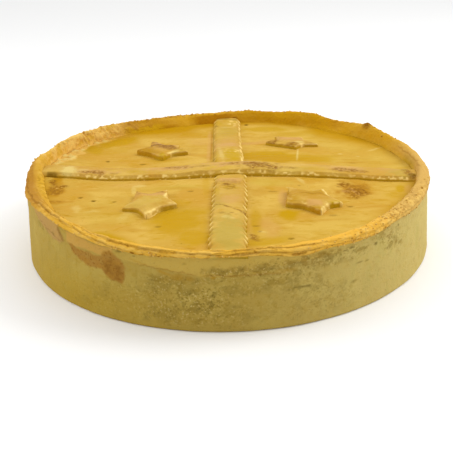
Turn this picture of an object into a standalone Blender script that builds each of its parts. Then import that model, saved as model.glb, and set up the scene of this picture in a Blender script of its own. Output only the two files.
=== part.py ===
"""A whole round chicken pie: a straight-walled pastry case with a hand-rolled rim, a pastry lid
set inside it, two fluted pastry ribbons crossing on the lid, and four cut-out pastry stars.

Metres, +Z up. The origin is the middle of the base. -Y is the front, where the rim is lowest,
and azimuths are degrees counter-clockwise from +X, so the front is at 270.
"""

import math

import bmesh
import bpy
import numpy as np

SEGMENTS = 120

# Wall: slightly wider at the base than below the rim.
BASE_RADIUS = 0.1415
WALL_TOP_RADIUS = 0.1384
WALL_TOP_HEIGHT = 0.0450
CORNER_RADIUS = 0.0016
WALL_WAVE = 0.0003

# Fold band: the overlap of case and lid, pressed against the wall along the front.
BAND_HEIGHT = 0.0400
BAND_PROUD = 0.0006
BAND_WAVE = 0.0008
BAND_CENTRE, BAND_SPREAD = 262, 62  # azimuth and half width

# Rim: three heights and radii round the pie, each a level with swells along it. A swell is its
# azimuth, its half width in degrees, 2 or 4 for a rounded or a flat top, and its amount.
RIM_RADIUS = 0.1395
FOOT_RADIUS = (  # where the rim's inner face meets the lid
    0.1308,
    (
        (20, 17, 2, -0.0019),
        (45, 8, 2, -0.0060),
        (107, 18, 2, -0.0059),
        (148, 36, 2, 0.0017),
        (198, 22, 2, -0.0057),
        (245, 18, 2, 0.0015),
        (270, 8, 2, 0.0045),
        (325, 17, 2, -0.0033),
    ),
)
CREST_HEIGHT = (
    0.0531,
    (
        (14, 8, 2, 0.0010),
        (33, 8, 2, 0.0030),
        (60, 9, 2, 0.0030),
        (80, 9, 2, 0.0012),
        (136, 10, 2, 0.0018),
        (157, 19, 2, 0.0035),
        (177, 6, 2, 0.0030),
        (190, 11, 2, -0.0031),
        (219, 9, 2, 0.0012),
        (275, 56, 4, -0.0048),
    ),
)
LIP_HEIGHT = (  # the rim's lower outer edge
    0.0470,
    (
        (181, 15, 2, 0.0017),
        (214, 19, 2, 0.0043),
        (249, 14, 2, -0.0016),
        (286, 6, 2, -0.0027),
        (302, 11, 2, -0.0028),
    ),
)
CREST_SHARE = (  # how far the crest lies from the inner face's foot towards the outside
    0.56,
    (
        (75, 70, 4, 0.20),
        (219, 13, 2, 0.18),
        (321, 37, 2, -0.14),
    ),
)

# Rim's section: heights as shares of its rise from the lip to the crest.
BULGE_BOTTOM, BULGE_TOP = 0.36, 0.74
CREASE_PLACE = 0.50  # from the outside to the crest
CREASE_FOOT, CREASE_EDGE, CREST_EDGE = 0.86, 0.88, 0.97
INNER_BEND_PLACE, INNER_BEND_RISE = 0.55, 0.58  # from the foot towards the crest
INNER_START = 0.0018  # inwards from the crest

# Relief on the rim, each a swell.
CRUMBLY_STRETCH = (320, 26, 4, 0.0005)
CRINKLED_STRETCH = (136, 26, 4, 0.0007)
FOLDED_STRETCH = (236, 44, 4, 0.0009)
CRINKLE_COUNT = 60
LAYER_STEP = 0.0007

# Lid
RECESS_FLOOR = 0.0420
LID_EDGE_HEIGHT = 0.0453
LID_RINGS = 9
LID_WAVE = 0.0003
DOME_CENTRE = (0.0200, -0.0100)
DOME_RISE = 0.0035
DOME_REACH = 0.1150
CLIMB_AZIMUTH, CLIMB_SPREAD = 180, 16  # where the lid climbs towards the rim
CLIMB_RISE = 0.0025
CLIMB_START = 0.0750
CLIMB_LENGTH = 0.0500
GAP = 0.0003

# Ribbons: cut with a fluted wheel, so both long edges are toothed. Each line is its middle
# point, its direction, and its bow: how far to the left, where along the line, half width.
RIBBON_THICKNESS = 0.0031
TOOTH_PITCH = 0.0062
TOOTH_DEPTH = 0.0012
EDGE_THINNING = 0.0007
RIBBON_CLEARANCE = 0.0006
SHOULDER_SHARE = 0.72
ALONG_LINE = ((0.0004, 0.0), math.radians(89.5), (-0.0021, -0.0250, 0.0600))
ALONG_WIDTH = 0.0222
ACROSS_LINE = ((0.0, -0.0085), math.radians(-5.6), (0.0032, 0.0650, 0.0550))
ACROSS_WIDTH = 0.0195
PRESSED = 0.0018  # how much the upper ribbon thins the lower one
PRESSED_FLAT, PRESSED_RAMP = 0.0135, 0.0110
BRIDGE_FLAT, BRIDGE_RAMP = 0.0155, 0.0250  # over which the upper ribbon climbs the lower one
END_PRESSED = 0.0017  # how much thinner the lower ribbon is where it meets the front rim
END_REACH, END_RAMP = 0.1345, 0.0120

# Stars: centre, thickness, and each tip's azimuth and reach in millimetres, as they were cut.
STAR_NOTCH_SHARE = 0.62  # of the mean reach of the tips on either side
STAR_CROWN = 0.0006
STAR_TIP_CURL = 0.0005
STAR_STEPS = 4  # points from a tip to the next notch
STARS = {
    "star_front_left": (
        (-0.0500, -0.0610),
        0.0040,
        ((-90, 21.0), (-15, 18.5), (60, 21.5), (117, 21.5), (200, 17.5)),
    ),
    "star_front_right": (
        (0.0535, -0.0650),
        0.0044,
        ((-79, 19.5), (-19, 19.5), (58, 16.5), (128, 22.5), (198, 17.5)),
    ),
    "star_back_left": (
        (-0.0480, 0.0480),
        0.0043,
        ((-88, 18.0), (-21, 20.5), (40, 15.5), (118, 23.5), (177, 20.5)),
    ),
    "star_back_right": (
        (0.0510, 0.0595),
        0.0035,
        ((-81, 15.0), (-19, 21.5), (50, 15.5), (129, 18.5), (180, 19.5)),
    ),
}

# Linear colours with roughness; the case's is that of its pale wall.
PASTRY = {
    "baked_case": ((0.430, 0.290, 0.075, 1.0), 0.65),
    "glazed_lid": ((0.690, 0.430, 0.070, 1.0), 0.38),
    "glazed_ribbon": ((0.700, 0.480, 0.110, 1.0), 0.42),
    "glazed_star": ((0.660, 0.450, 0.090, 1.0), 0.42),
}


def clear_scene():
    for obj in list(bpy.data.objects):
        bpy.data.objects.remove(obj)


def pastry_material(name):
    colour, roughness = PASTRY[name]
    material = bpy.data.materials.get(name) or bpy.data.materials.new(name)
    material.use_nodes = True
    shader = material.node_tree.nodes["Principled BSDF"]
    shader.inputs["Base Color"].default_value = colour
    shader.inputs["Roughness"].default_value = roughness
    shader.inputs["Metallic"].default_value = 0.0
    return material


def stretch(place, centre, half_width, power=2):
    """1 at the centre azimuth, falling smoothly to 0 beyond the half width."""
    away = (place - centre + 180) % 360 - 180
    return np.exp(-(np.abs(away / half_width) ** power))


def plateau(distance, flat, ramp):
    """1 within the flat distance, falling smoothly to 0 over the ramp."""
    share = np.clip((np.abs(distance) - flat) / ramp, 0, 1)
    return 0.5 + 0.5 * np.cos(math.pi * share)


def along_rim(azimuth, level, swells):
    """A level and its swells, at each azimuth."""
    return level + sum(swell[-1] * stretch(azimuth, *swell[:-1]) for swell in swells)


def uneven(azimuth, phase):
    """A seamless irregular wave round the pie, between about -1 and 1."""
    turn = np.radians(azimuth)
    waves = ((7, 0.45), (17, 0.30), (29, 0.25))
    return sum(share * np.sin(count * turn + phase * count) for count, share in waves)


def lid_height(x, y):
    """The lid's upper surface: a low dome right of the middle, a climb at the left, soft waves."""
    away = np.hypot(x - DOME_CENTRE[0], y - DOME_CENTRE[1])
    dome = DOME_RISE * plateau(away, 0.0, DOME_REACH)
    inward = CLIMB_START + CLIMB_LENGTH - np.minimum(np.hypot(x, y), CLIMB_START + CLIMB_LENGTH)
    near_left = stretch(np.degrees(np.arctan2(y, x)), CLIMB_AZIMUTH, CLIMB_SPREAD)
    climb = CLIMB_RISE * plateau(inward, 0.0, CLIMB_LENGTH) * near_left
    wave = LID_WAVE * np.sin(x / 0.023 + 0.4) * np.cos(y / 0.027 - 0.8)
    return LID_EDGE_HEIGHT + dome + climb + wave


def wall_radius(height):
    share = height / WALL_TOP_HEIGHT
    return BASE_RADIUS + (WALL_TOP_RADIUS - BASE_RADIUS) * share


def case_profile(azimuth):
    """(radius, height) rings from the base's edge, up the wall and over the rim, to the recess."""
    turn = np.radians(azimuth)
    foot = along_rim(azimuth, *FOOT_RADIUS)
    crest = along_rim(azimuth, *CREST_HEIGHT)
    lip = along_rim(azimuth, *LIP_HEIGHT)
    crest_radius = foot + along_rim(azimuth, *CREST_SHARE) * (RIM_RADIUS - foot)
    crease_radius = RIM_RADIUS - CREASE_PLACE * (RIM_RADIUS - crest_radius)
    inner_radius = crest_radius - INNER_START
    bend_radius = foot + INNER_BEND_PLACE * (inner_radius - foot)
    rise = crest - lip
    lid_edge = lid_height(foot * np.cos(turn), foot * np.sin(turn))

    wave = WALL_WAVE * uneven(azimuth, 0.7)
    band = BAND_PROUD * stretch(azimuth, BAND_CENTRE, BAND_SPREAD, 4)
    band_edge = BAND_HEIGHT + BAND_WAVE * uneven(azimuth, 2.3)
    crumbs = CRUMBLY_STRETCH[-1] * stretch(azimuth, *CRUMBLY_STRETCH[:-1])
    fold = FOLDED_STRETCH[-1] * stretch(azimuth, *FOLDED_STRETCH[:-1])
    crinkles = CRINKLED_STRETCH[-1] * stretch(azimuth, *CRINKLED_STRETCH[:-1])
    crinkles = crinkles * np.sin(CRINKLE_COUNT * turn + uneven(azimuth, 1.9))

    corner = CORNER_RADIUS * (1 - math.sqrt(0.5))
    level = np.zeros_like(foot)
    return [
        (level + BASE_RADIUS - CORNER_RADIUS, level),
        (wave / 2 + BASE_RADIUS - corner, level + corner),
        (wave + wall_radius(CORNER_RADIUS), level + CORNER_RADIUS),
        (wave + wall_radius(BAND_HEIGHT / 2), level + BAND_HEIGHT / 2),
        (wave + wall_radius(BAND_HEIGHT), band_edge - BAND_PROUD),
        (wave + wall_radius(BAND_HEIGHT) + band, band_edge + BAND_PROUD),
        (wave + WALL_TOP_RADIUS + band, lip - LAYER_STEP),
        (wave + RIM_RADIUS, lip),
        (RIM_RADIUS + crumbs * uneven(azimuth, 3.1), lip + BULGE_BOTTOM * rise),
        (RIM_RADIUS - LAYER_STEP, lip + BULGE_TOP * rise + crumbs * uneven(azimuth, 0.2)),
        (crease_radius + LAYER_STEP / 2, lip + CREASE_EDGE * rise),
        (crease_radius, lip + CREASE_FOOT * rise - fold),
        (crest_radius + LAYER_STEP / 2, lip + CREST_EDGE * rise),
        (crest_radius - LAYER_STEP / 2, crest + crumbs * uneven(azimuth, 1.1)),
        (inner_radius, crest - LAYER_STEP + crumbs * uneven(azimuth, 2.6)),
        (bend_radius + crinkles, lid_edge + INNER_BEND_RISE * (crest - lid_edge)),
        (foot + LAYER_STEP - crinkles, lid_edge + LAYER_STEP),
        (foot, level + RECESS_FLOOR),
    ]


def object_from(name, mesh, material, parent, location=(0, 0, 0), angle=0.0):
    obj = bpy.data.objects.new(name, mesh)
    bpy.context.scene.collection.objects.link(obj)
    obj.parent = parent
    obj.location = location
    obj.rotation_euler.z = angle
    mesh.materials.append(pastry_material(material))
    mesh.shade_smooth()
    mesh.set_sharp_from_angle(angle=math.radians(40))
    return obj


def turned_mesh(name, rings, first_height, last_height):
    """A closed skin through rings of points, with a centre point capping each end."""
    shape = bmesh.new()
    loops = [[shape.verts.new(point) for point in ring] for ring in rings]
    count = len(loops[0])
    first = shape.verts.new((0, 0, first_height))
    last = shape.verts.new((0, 0, last_height))
    for i in range(count):
        j = (i + 1) % count
        shape.faces.new((first, loops[0][j], loops[0][i]))
        for lower, upper in zip(loops, loops[1:]):
            shape.faces.new((lower[i], lower[j], upper[j], upper[i]))
        shape.faces.new((last, loops[-1][i], loops[-1][j]))
    return finished(name, shape)


def finished(name, shape):
    """The bmesh as a mesh of triangles, split the same way wherever it is read."""
    bmesh.ops.triangulate(shape, faces=shape.faces[:])
    bmesh.ops.recalc_face_normals(shape, faces=shape.faces[:])
    mesh = bpy.data.meshes.new(name)
    shape.to_mesh(mesh)
    shape.free()
    return mesh


def ring_points(azimuth, radius, height):
    turn = np.radians(azimuth)
    return np.stack([radius * np.cos(turn), radius * np.sin(turn), height], axis=1)


def azimuths():
    return np.arange(SEGMENTS) * 360.0 / SEGMENTS


def make_case(parent):
    around = azimuths()
    rings = [ring_points(around, radius, height) for radius, height in case_profile(around)]
    mesh = turned_mesh("pie_case", rings, 0.0, RECESS_FLOOR)
    object_from("pie_case", mesh, "baked_case", parent)


def make_lid(parent):
    around = azimuths()
    turn = np.radians(around)
    edge = along_rim(around, *FOOT_RADIUS) - GAP
    rings = [ring_points(around, edge, np.full_like(around, RECESS_FLOOR + GAP))]
    for step in range(LID_RINGS, 0, -1):
        radius = edge * step / LID_RINGS
        height = lid_height(radius * np.cos(turn), radius * np.sin(turn))
        rings.append(ring_points(around, radius, height))
    mesh = turned_mesh("pie_lid", rings, RECESS_FLOOR + GAP, float(lid_height(0.0, 0.0)))
    object_from("pie_lid", mesh, "glazed_lid", parent)


def bow(line, station):
    amount, centre, spread = line[2]
    return amount * math.exp(-(((station - centre) / spread) ** 2))


def on_line(line, station, across):
    """The point that far along a ribbon's line and to the left of it."""
    centre, angle, _ = line
    sideways = across + bow(line, station)
    x = centre[0] + station * math.cos(angle) - sideways * math.sin(angle)
    y = centre[1] + station * math.sin(angle) + sideways * math.cos(angle)
    return x, y


def off_line(line, x, y):
    """How far a point is from a ribbon's line, the bow left out."""
    centre, angle, _ = line
    return (x - centre[0]) * math.sin(angle) - (y - centre[1]) * math.cos(angle)


def ribbon_reach(line, width, towards):
    """How far the ribbon runs from its middle before a corner would touch the rim."""
    reach = RIM_RADIUS
    while reach > 0:
        corners = [on_line(line, towards * reach, side * width) for side in (-0.5, 0.0, 0.5)]
        feet = [along_rim(math.degrees(math.atan2(y, x)), *FOOT_RADIUS) for x, y in corners]
        if all(math.hypot(*p) < foot - RIBBON_CLEARANCE for p, foot in zip(corners, feet)):
            return reach
        reach -= 0.0002
    raise ValueError("the ribbon doesn't fit on the lid")


def make_ribbon(name, line, width, surfaces, parent):
    """A toothed strip on the lid. surfaces(x, y) gives its underside and top above the lid."""
    start = -ribbon_reach(line, width, -1)
    end = ribbon_reach(line, width, 1)
    count = 2 * round((end - start) / TOOTH_PITCH)
    shape = bmesh.new()
    rows = []
    for number, station in enumerate(np.linspace(start, end, count + 1)):
        edge = width / 2 - TOOTH_DEPTH * (number % 2)
        shoulder = SHOULDER_SHARE * width / 2
        section = (  # how far across, whether on top, and how much thinner there
            (-edge, False, 0.0),
            (-edge, True, EDGE_THINNING),
            (-shoulder, True, 0.0),
            (0.0, True, 0.0),
            (shoulder, True, 0.0),
            (edge, True, EDGE_THINNING),
            (edge, False, 0.0),
            (0.0, False, 0.0),
        )
        row = []
        for across, on_top, thinning in section:
            x, y = on_line(line, station, across)
            under, top = surfaces(x, y)
            height = float(lid_height(x, y)) + (top - thinning if on_top else under)
            row.append(shape.verts.new((station, across + bow(line, station), height)))
        rows.append(row)
    for row, following in zip(rows, rows[1:]):
        for i in range(len(row)):
            j = (i + 1) % len(row)
            shape.faces.new((row[i], row[j], following[j], following[i]))
    shape.faces.new(rows[0])
    shape.faces.new(rows[-1])
    centre, angle, _ = line
    object_from(name, finished(name, shape), "glazed_ribbon", parent, (*centre, 0.0), angle)


def along_surfaces(x, y):
    """The lower ribbon, pressed thinner where the other crosses it and at its front end."""
    pressed = PRESSED * plateau(off_line(ACROSS_LINE, x, y), PRESSED_FLAT, PRESSED_RAMP)
    pressed += END_PRESSED * plateau(y + END_REACH, 0.0, END_RAMP)
    return GAP, GAP + RIBBON_THICKNESS - pressed


def across_surfaces(x, y):
    """The upper ribbon, climbing over the lower one."""
    lift = RIBBON_THICKNESS - PRESSED + GAP
    under = GAP + lift * plateau(off_line(ALONG_LINE, x, y), BRIDGE_FLAT, BRIDGE_RAMP)
    return under, under + RIBBON_THICKNESS


def star_outline(tips):
    """Points round a five-tipped star with hollow sides, with how far out each one reaches."""
    outline = []
    for number, (azimuth, reach) in enumerate(tips):
        next_azimuth, next_reach = tips[(number + 1) % len(tips)]
        apart = (next_azimuth - azimuth) % 360
        notch = STAR_NOTCH_SHARE * (reach + next_reach) / 2
        for step in range(2 * STAR_STEPS):
            away = step / STAR_STEPS  # 0 at this tip, 1 at the notch, 2 at the next tip
            beyond = ((reach if away < 1 else next_reach) - notch) * (1 - away) ** 2
            turn = math.radians(azimuth + apart * away / 2)
            radius = (notch + beyond) / 1000
            outline.append((radius * math.cos(turn), radius * math.sin(turn), beyond / notch))
    return outline


def make_star(name, centre, thickness, tips, parent):
    """A thick cut-out star on the lid: its front tips droop and its back tips curl up."""
    ground = float(lid_height(*centre))
    outline = star_outline(tips)
    rings = []
    for scale, on_top in ((1.0, False), (1.0, True), (0.55, True)):
        ring = []
        for x, y, beyond in outline:
            x, y = scale * x, scale * y
            height = float(lid_height(centre[0] + x, centre[1] + y)) + GAP - ground
            if on_top:
                curl = math.copysign(STAR_TIP_CURL, y) * beyond if scale == 1 else 0.0
                height += thickness + STAR_CROWN * (1 - scale) + curl
            ring.append((x, y, height))
        rings.append(ring)
    mesh = turned_mesh(name, rings, GAP, GAP + thickness + STAR_CROWN)
    object_from(name, mesh, "glazed_star", parent, (*centre, ground))


def make_pie():
    clear_scene()
    pie = bpy.data.objects.new("pie", None)
    bpy.context.scene.collection.objects.link(pie)
    make_case(pie)
    make_lid(pie)
    make_ribbon("ribbon_along", ALONG_LINE, ALONG_WIDTH, along_surfaces, pie)
    make_ribbon("ribbon_across", ACROSS_LINE, ACROSS_WIDTH, across_surfaces, pie)
    for name, (centre, thickness, tips) in STARS.items():
        make_star(name, centre, thickness, tips, pie)


make_pie()
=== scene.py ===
"""A whole chicken pie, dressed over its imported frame: the baked case with its rolled rim, the
glazed lid, the two fluted ribbons, the stars and the crumbs, with a studio to see them in.

Metres, +Z up, the origin in the middle of the base. -Y is the front. Azimuths are degrees
counter-clockwise from +X. A mark is its middle, its half length and half width, its turn in degrees
and its strength, in millimetres on the pie, or in degrees round the wall and millimetres up it.
"""

import itertools
import math
from collections import namedtuple
from functools import partial

import bmesh
import bpy
import numpy as np
from bpy.props import FloatProperty, FloatVectorProperty, IntProperty, PointerProperty
from mathutils import Matrix, Quaternion, Vector


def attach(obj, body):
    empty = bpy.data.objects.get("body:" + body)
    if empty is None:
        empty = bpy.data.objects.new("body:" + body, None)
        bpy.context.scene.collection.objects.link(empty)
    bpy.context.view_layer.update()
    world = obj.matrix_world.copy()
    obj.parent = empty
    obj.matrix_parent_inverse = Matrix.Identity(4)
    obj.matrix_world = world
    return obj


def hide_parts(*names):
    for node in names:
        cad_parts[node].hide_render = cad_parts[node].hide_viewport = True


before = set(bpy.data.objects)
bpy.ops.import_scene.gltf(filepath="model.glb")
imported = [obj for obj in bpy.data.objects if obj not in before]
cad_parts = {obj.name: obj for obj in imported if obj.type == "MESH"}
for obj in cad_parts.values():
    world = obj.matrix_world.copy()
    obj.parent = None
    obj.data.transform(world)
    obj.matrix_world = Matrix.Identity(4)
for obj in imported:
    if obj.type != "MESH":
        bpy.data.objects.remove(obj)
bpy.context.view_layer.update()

bl_info = {
    "name": "Chicken Pie",
    "version": (1, 0, 0),
    "blender": (4, 5, 0),
    "location": "3D Viewport > Sidebar > Pie",
    "description": "Makes a glazed chicken pie with a rolled rim, fluted ribbons and stars",
    "category": "Add Mesh",
}

ColourProperty = partial(FloatVectorProperty, subtype="COLOR")
LengthProperty = partial(FloatProperty, subtype="DISTANCE")
PowerProperty = partial(FloatProperty, subtype="POWER")
ShareProperty = partial(FloatProperty, subtype="FACTOR", min=0.0, max=1.0)

BODY = "root"
MM = 0.001

# ---------------------------------------------------------------- the shapes shared with the solids

BASE_RADIUS = 0.1415
WALL_TOP_RADIUS, WALL_TOP_HEIGHT = 0.1384, 0.0450
CORNER_RADIUS = 0.0016
WALL_WAVE = 0.0003
BAND_HEIGHT, BAND_PROUD, BAND_WAVE = 0.0400, 0.0006, 0.0008
BAND_CENTRE, BAND_SPREAD = 262, 62
BAND_SAG, SAG_CENTRE, SAG_SPREAD = 0.0050, 265, 12

# A level round the rim, with swells along it: azimuth, half width, 2 or 4 for a rounded or a flat
# top, and amount.
RIM_RADIUS = 0.1395
FOOT_RADIUS = (0.1308, (
    (20, 17, 2, -0.0019), (45, 8, 2, -0.006), (107, 18, 2, -0.0059), (148, 36, 2, 0.0017),
    (198, 22, 2, -0.0057), (245, 18, 2, 0.0015), (270, 8, 2, 0.0045), (325, 17, 2, -0.0033),
))  # fmt: skip
CREST_HEIGHT = (0.0531, (
    (14, 8, 2, 0.001), (33, 8, 2, 0.003), (60, 9, 2, 0.003), (80, 9, 2, 0.0012),
    (136, 10, 2, 0.0018), (157, 19, 2, 0.0035), (177, 6, 2, 0.003), (190, 11, 2, -0.0031),
    (219, 9, 2, 0.0012), (275, 56, 4, -0.0048),
))  # fmt: skip
LIP_HEIGHT = (0.047, (
    (181, 15, 2, 0.0017), (214, 19, 2, 0.0043), (249, 14, 2, -0.0016), (286, 6, 2, -0.0027),
    (302, 11, 2, -0.0028),
))  # fmt: skip
CREST_SHARE = (0.56, (
    (75, 70, 4, 0.2), (219, 13, 2, 0.18), (321, 37, 2, -0.14),
))  # fmt: skip
BULGE_BOTTOM, BULGE_TOP = 0.36, 0.74
CREASE_PLACE, CREASE_EDGE = 0.50, 0.88
INNER_BEND_PLACE, INNER_BEND_RISE = 0.55, 0.58
INNER_START = 0.0018
LAYER_STEP = 0.0007

RECESS_FLOOR = 0.0420
LID_EDGE_HEIGHT = 0.0453
LID_WAVE = 0.0003
DOME_CENTRE, DOME_RISE, DOME_REACH = (0.0200, -0.0100), 0.0035, 0.1150
CLIMB_AZIMUTH, CLIMB_SPREAD, CLIMB_RISE = 180, 16, 0.0025
CLIMB_START, CLIMB_LENGTH = 0.0750, 0.0500
GAP = 0.0003

# A ribbon's line: a point on it, its direction, and its bow's amount, place and spread.
RIBBON_THICKNESS = 0.0031
ALONG_LINE = ((0.0004, 0.0), math.radians(89.5), (-0.0021, -0.0250, 0.0600))
ALONG_WIDTH = 0.0222
ACROSS_LINE = ((0.0, -0.0085), math.radians(-5.6), (0.0032, 0.0650, 0.0550))
ACROSS_WIDTH = 0.0195
PRESSED, PRESSED_FLAT, PRESSED_RAMP = 0.0018, 0.0135, 0.0110
BRIDGE_FLAT, BRIDGE_RAMP = 0.0155, 0.0250
END_PRESSED, END_REACH, END_RAMP = 0.0017, 0.1345, 0.0120

# A star's middle, its thickness, and the azimuth and reach in millimetres of each tip.
STAR_NOTCH_SHARE = 0.62
STAR_CROWN = 0.0006
STAR_TIP_CURL = 0.0005
STARS = {
    "star_front_left": (
        (-0.05, -0.061), 0.004, ((-90, 21), (-15, 18.5), (60, 21.5), (117, 21.5), (200, 17.5))
    ),
    "star_front_right": (
        (0.0535, -0.065), 0.0044, ((-79, 19.5), (-19, 19.5), (58, 16.5), (128, 22.5), (198, 17.5))
    ),
    "star_back_left": (
        (-0.048, 0.048), 0.0043, ((-88, 18), (-21, 20.5), (40, 15.5), (118, 23.5), (177, 20.5))
    ),
    "star_back_right": (
        (0.051, 0.0595), 0.0035, ((-81, 15), (-19, 21.5), (50, 15.5), (129, 18.5), (180, 19.5))
    ),
}  # fmt: skip


def stretch(place, centre, half_width, power=2):
    """1 at the centre azimuth, falling smoothly to 0 beyond the half width."""
    away = (place - centre + 180) % 360 - 180
    return np.exp(-(np.abs(away / half_width) ** power))


def plateau(distance, flat, ramp):
    """1 within the flat distance, falling smoothly to 0 over the ramp."""
    share = np.clip((np.abs(distance) - flat) / ramp, 0, 1)
    return 0.5 + 0.5 * np.cos(math.pi * share)


def along_rim(azimuth, level, swells):
    """A level and its swells, at each azimuth."""
    return level + sum(swell[-1] * stretch(azimuth, *swell[:-1]) for swell in swells)


def uneven(azimuth, phase):
    """A seamless irregular wave round the pie, between about -1 and 1."""
    turn = np.radians(azimuth)
    waves = ((7, 0.45), (17, 0.30), (29, 0.25))
    return sum(share * np.sin(count * turn + phase * count) for count, share in waves)


def lid_height(x, y):
    """The lid's upper surface: a low dome right of the middle, a climb at the left, soft waves."""
    away = np.hypot(x - DOME_CENTRE[0], y - DOME_CENTRE[1])
    dome = DOME_RISE * plateau(away, 0.0, DOME_REACH)
    inward = CLIMB_START + CLIMB_LENGTH - np.minimum(np.hypot(x, y), CLIMB_START + CLIMB_LENGTH)
    near_left = stretch(np.degrees(np.arctan2(y, x)), CLIMB_AZIMUTH, CLIMB_SPREAD)
    climb = CLIMB_RISE * plateau(inward, 0.0, CLIMB_LENGTH) * near_left
    wave = LID_WAVE * np.sin(x / 0.023 + 0.4) * np.cos(y / 0.027 - 0.8)
    return LID_EDGE_HEIGHT + dome + climb + wave


def wall_radius(height):
    """The wall's radius at that height."""
    return BASE_RADIUS + (WALL_TOP_RADIUS - BASE_RADIUS) * height / WALL_TOP_HEIGHT


# ---------------------------------------------------------------- tools for uneven dough

NOISE_CELLS = 64


def noise(points, size, seed):
    """Smooth noise between -1 and 1 at each point, with bumps of that size or (x, y, z) sizes."""
    lattice = np.random.default_rng(seed).uniform(-1, 1, (NOISE_CELLS,) * 3)
    place = points / size
    cell = np.floor(place).astype(int)
    share = place - cell
    share = share * share * (3 - 2 * share)
    total = np.zeros(points.shape[:-1])
    for corner in itertools.product((0, 1), repeat=3):
        weight = np.prod(np.where(corner, share, 1 - share), axis=-1)
        where = np.moveaxis((cell + corner) % NOISE_CELLS, -1, 0)
        total += weight * lattice[tuple(where)]
    return total


def rough(points, size, seed, layers=3):
    """Noise with finer and finer bumps on it."""
    sizes = np.asarray(size, dtype=float)
    return sum(noise(points, sizes / 2**k, seed + k) / 2**k for k in range(layers))


def rise(value, start, end):
    """0 below the start, 1 above the end, smooth between; or falling, where end is below start."""
    share = np.clip((value - start) / (end - start), 0, 1)
    return share * share * (3 - 2 * share)


def hump(value, centre, width):
    """1 at the centre, falling smoothly to 0 beyond the width."""
    return np.exp(-(((value - centre) / width) ** 2))


def ripple(phase):
    """0 to 1 and back for each whole number of the phase, with 1 at the whole numbers."""
    return 0.5 + 0.5 * np.cos(2 * math.pi * phase)


def places(x, y, z=0.0):
    """Points from their coordinates."""
    return np.stack(np.broadcast_arrays(x, y, z), axis=-1)


def beside(x, y, start, end):
    """How far along a line each place is, as a share of it, and how far beside it."""
    dx, dy = end[0] - start[0], end[1] - start[1]
    length = math.hypot(dx, dy)
    along = ((x - start[0]) * dx + (y - start[1]) * dy) / length**2
    return along, ((y - start[1]) * dx - (x - start[0]) * dy) / length


def cover(x, y, marks, ragged=0.0):
    """How strongly the marks cover each place, 0 to 1."""
    total = np.zeros(np.broadcast(x, y).shape)
    for middle_x, middle_y, half_x, half_y, turn, strength in marks:
        c, s = math.cos(math.radians(turn)), math.sin(math.radians(turn))
        along = (c * (x - middle_x) + s * (y - middle_y)) / half_x
        across = (c * (y - middle_y) - s * (x - middle_x)) / half_y
        total = np.maximum(total, strength * rise(np.hypot(along, across) + ragged, 1.4, 0.5))
    return total


def marked(x, y, marks, ragged):
    """The masks of a ribbon's or a star's marks."""
    names = ("browned", "pink", "pale", "pools", "sallow", "pits", "tan", "crusty")
    return {name: cover(x / MM, y / MM, marks.get(name, ()), ragged) for name in names}


def patch(x, y, outline, soft, ragged=0.0):
    """How strongly a patch with that outline covers each place, fading over the soft width."""
    inside = np.zeros(np.broadcast(x, y).shape, dtype=bool)
    nearest = np.full(inside.shape, np.inf)
    for (x0, y0), (x1, y1) in zip(outline, outline[1:] + outline[:1]):
        dx, dy = x1 - x0, y1 - y0
        share = np.clip(((x - x0) * dx + (y - y0) * dy) / (dx * dx + dy * dy), 0, 1)
        nearest = np.minimum(nearest, np.hypot(x - x0 - share * dx, y - y0 - share * dy))
        side = (x - x0) * dy - (y - y0) * dx
        inside ^= ((y0 > y) != (y1 > y)) & (side < 0 if dy > 0 else side > 0)
    return rise(np.where(inside, -nearest, nearest) + ragged, soft, -soft)


def curve_through(controls, steps):
    """Rows along a smooth curve through control points (k, n, 2), with steps to each stretch."""
    first = 2 * controls[:1] - controls[1:2]
    last = 2 * controls[-1:] - controls[-2:-1]
    points = np.concatenate([first, controls, last])
    lengths = np.linalg.norm(np.diff(points, axis=0), axis=-1, keepdims=True)
    knots = np.concatenate([np.zeros_like(lengths[:1]), np.cumsum(np.sqrt(lengths + 1e-9), axis=0)])
    rows = []
    for i, count in enumerate(steps):
        p, t = points[i : i + 4], knots[i : i + 4]
        for step in range(count):
            here = t[1] + (t[2] - t[1]) * step / count
            a = [between(p[j], p[j + 1], t[j], t[j + 1], here) for j in range(3)]
            b = [between(a[j], a[j + 1], t[j], t[j + 2], here) for j in range(2)]
            rows.append(between(b[0], b[1], t[1], t[2], here))
    rows.append(controls[-1])
    return np.stack(rows)


def between(first, last, start, end, here):
    return first + (last - first) * (here - start) / (end - start)


def outward(grid):
    """Unit normals of a grid (rows, around, 3) that closes on itself around."""
    around = np.roll(grid, -1, axis=1) - np.roll(grid, 1, axis=1)
    upward = np.gradient(grid, axis=0)
    normal = np.cross(around, upward)
    return normal / np.maximum(np.linalg.norm(normal, axis=-1, keepdims=True), 1e-12)


def skin(name, grid, masks, first=None, last=None):
    """A closed mesh of rows of points, capped by a point at each end, with its masks."""
    rows, around, _ = grid.shape
    first = grid[0].mean(axis=0) if first is None else first
    last = grid[-1].mean(axis=0) if last is None else last
    points = np.concatenate([grid.reshape(-1, 3), [first, last]])
    i = np.arange(around)
    j = (i + 1) % around
    faces = []
    for row in range(rows - 1):
        low, high = row * around, (row + 1) * around
        faces.extend(np.stack([low + i, low + j, high + j, high + i], axis=1).tolist())
    bottom, top = rows * around, rows * around + 1
    end = (rows - 1) * around
    faces.extend(np.stack([np.full(around, bottom), j, i], axis=1).tolist())
    faces.extend(np.stack([np.full(around, top), end + i, end + j], axis=1).tolist())
    mesh = bpy.data.meshes.new(name)
    mesh.from_pydata(points.tolist(), [], faces)
    mesh.shade_smooth()
    for mask, values in masks.items():
        column = mesh.attributes.new(mask, "FLOAT", "POINT")
        flat = np.broadcast_to(values, grid.shape[:2]).reshape(-1)
        column.data.foreach_set("value", np.concatenate([flat, flat[:1], flat[-1:]]))
    return mesh


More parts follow.
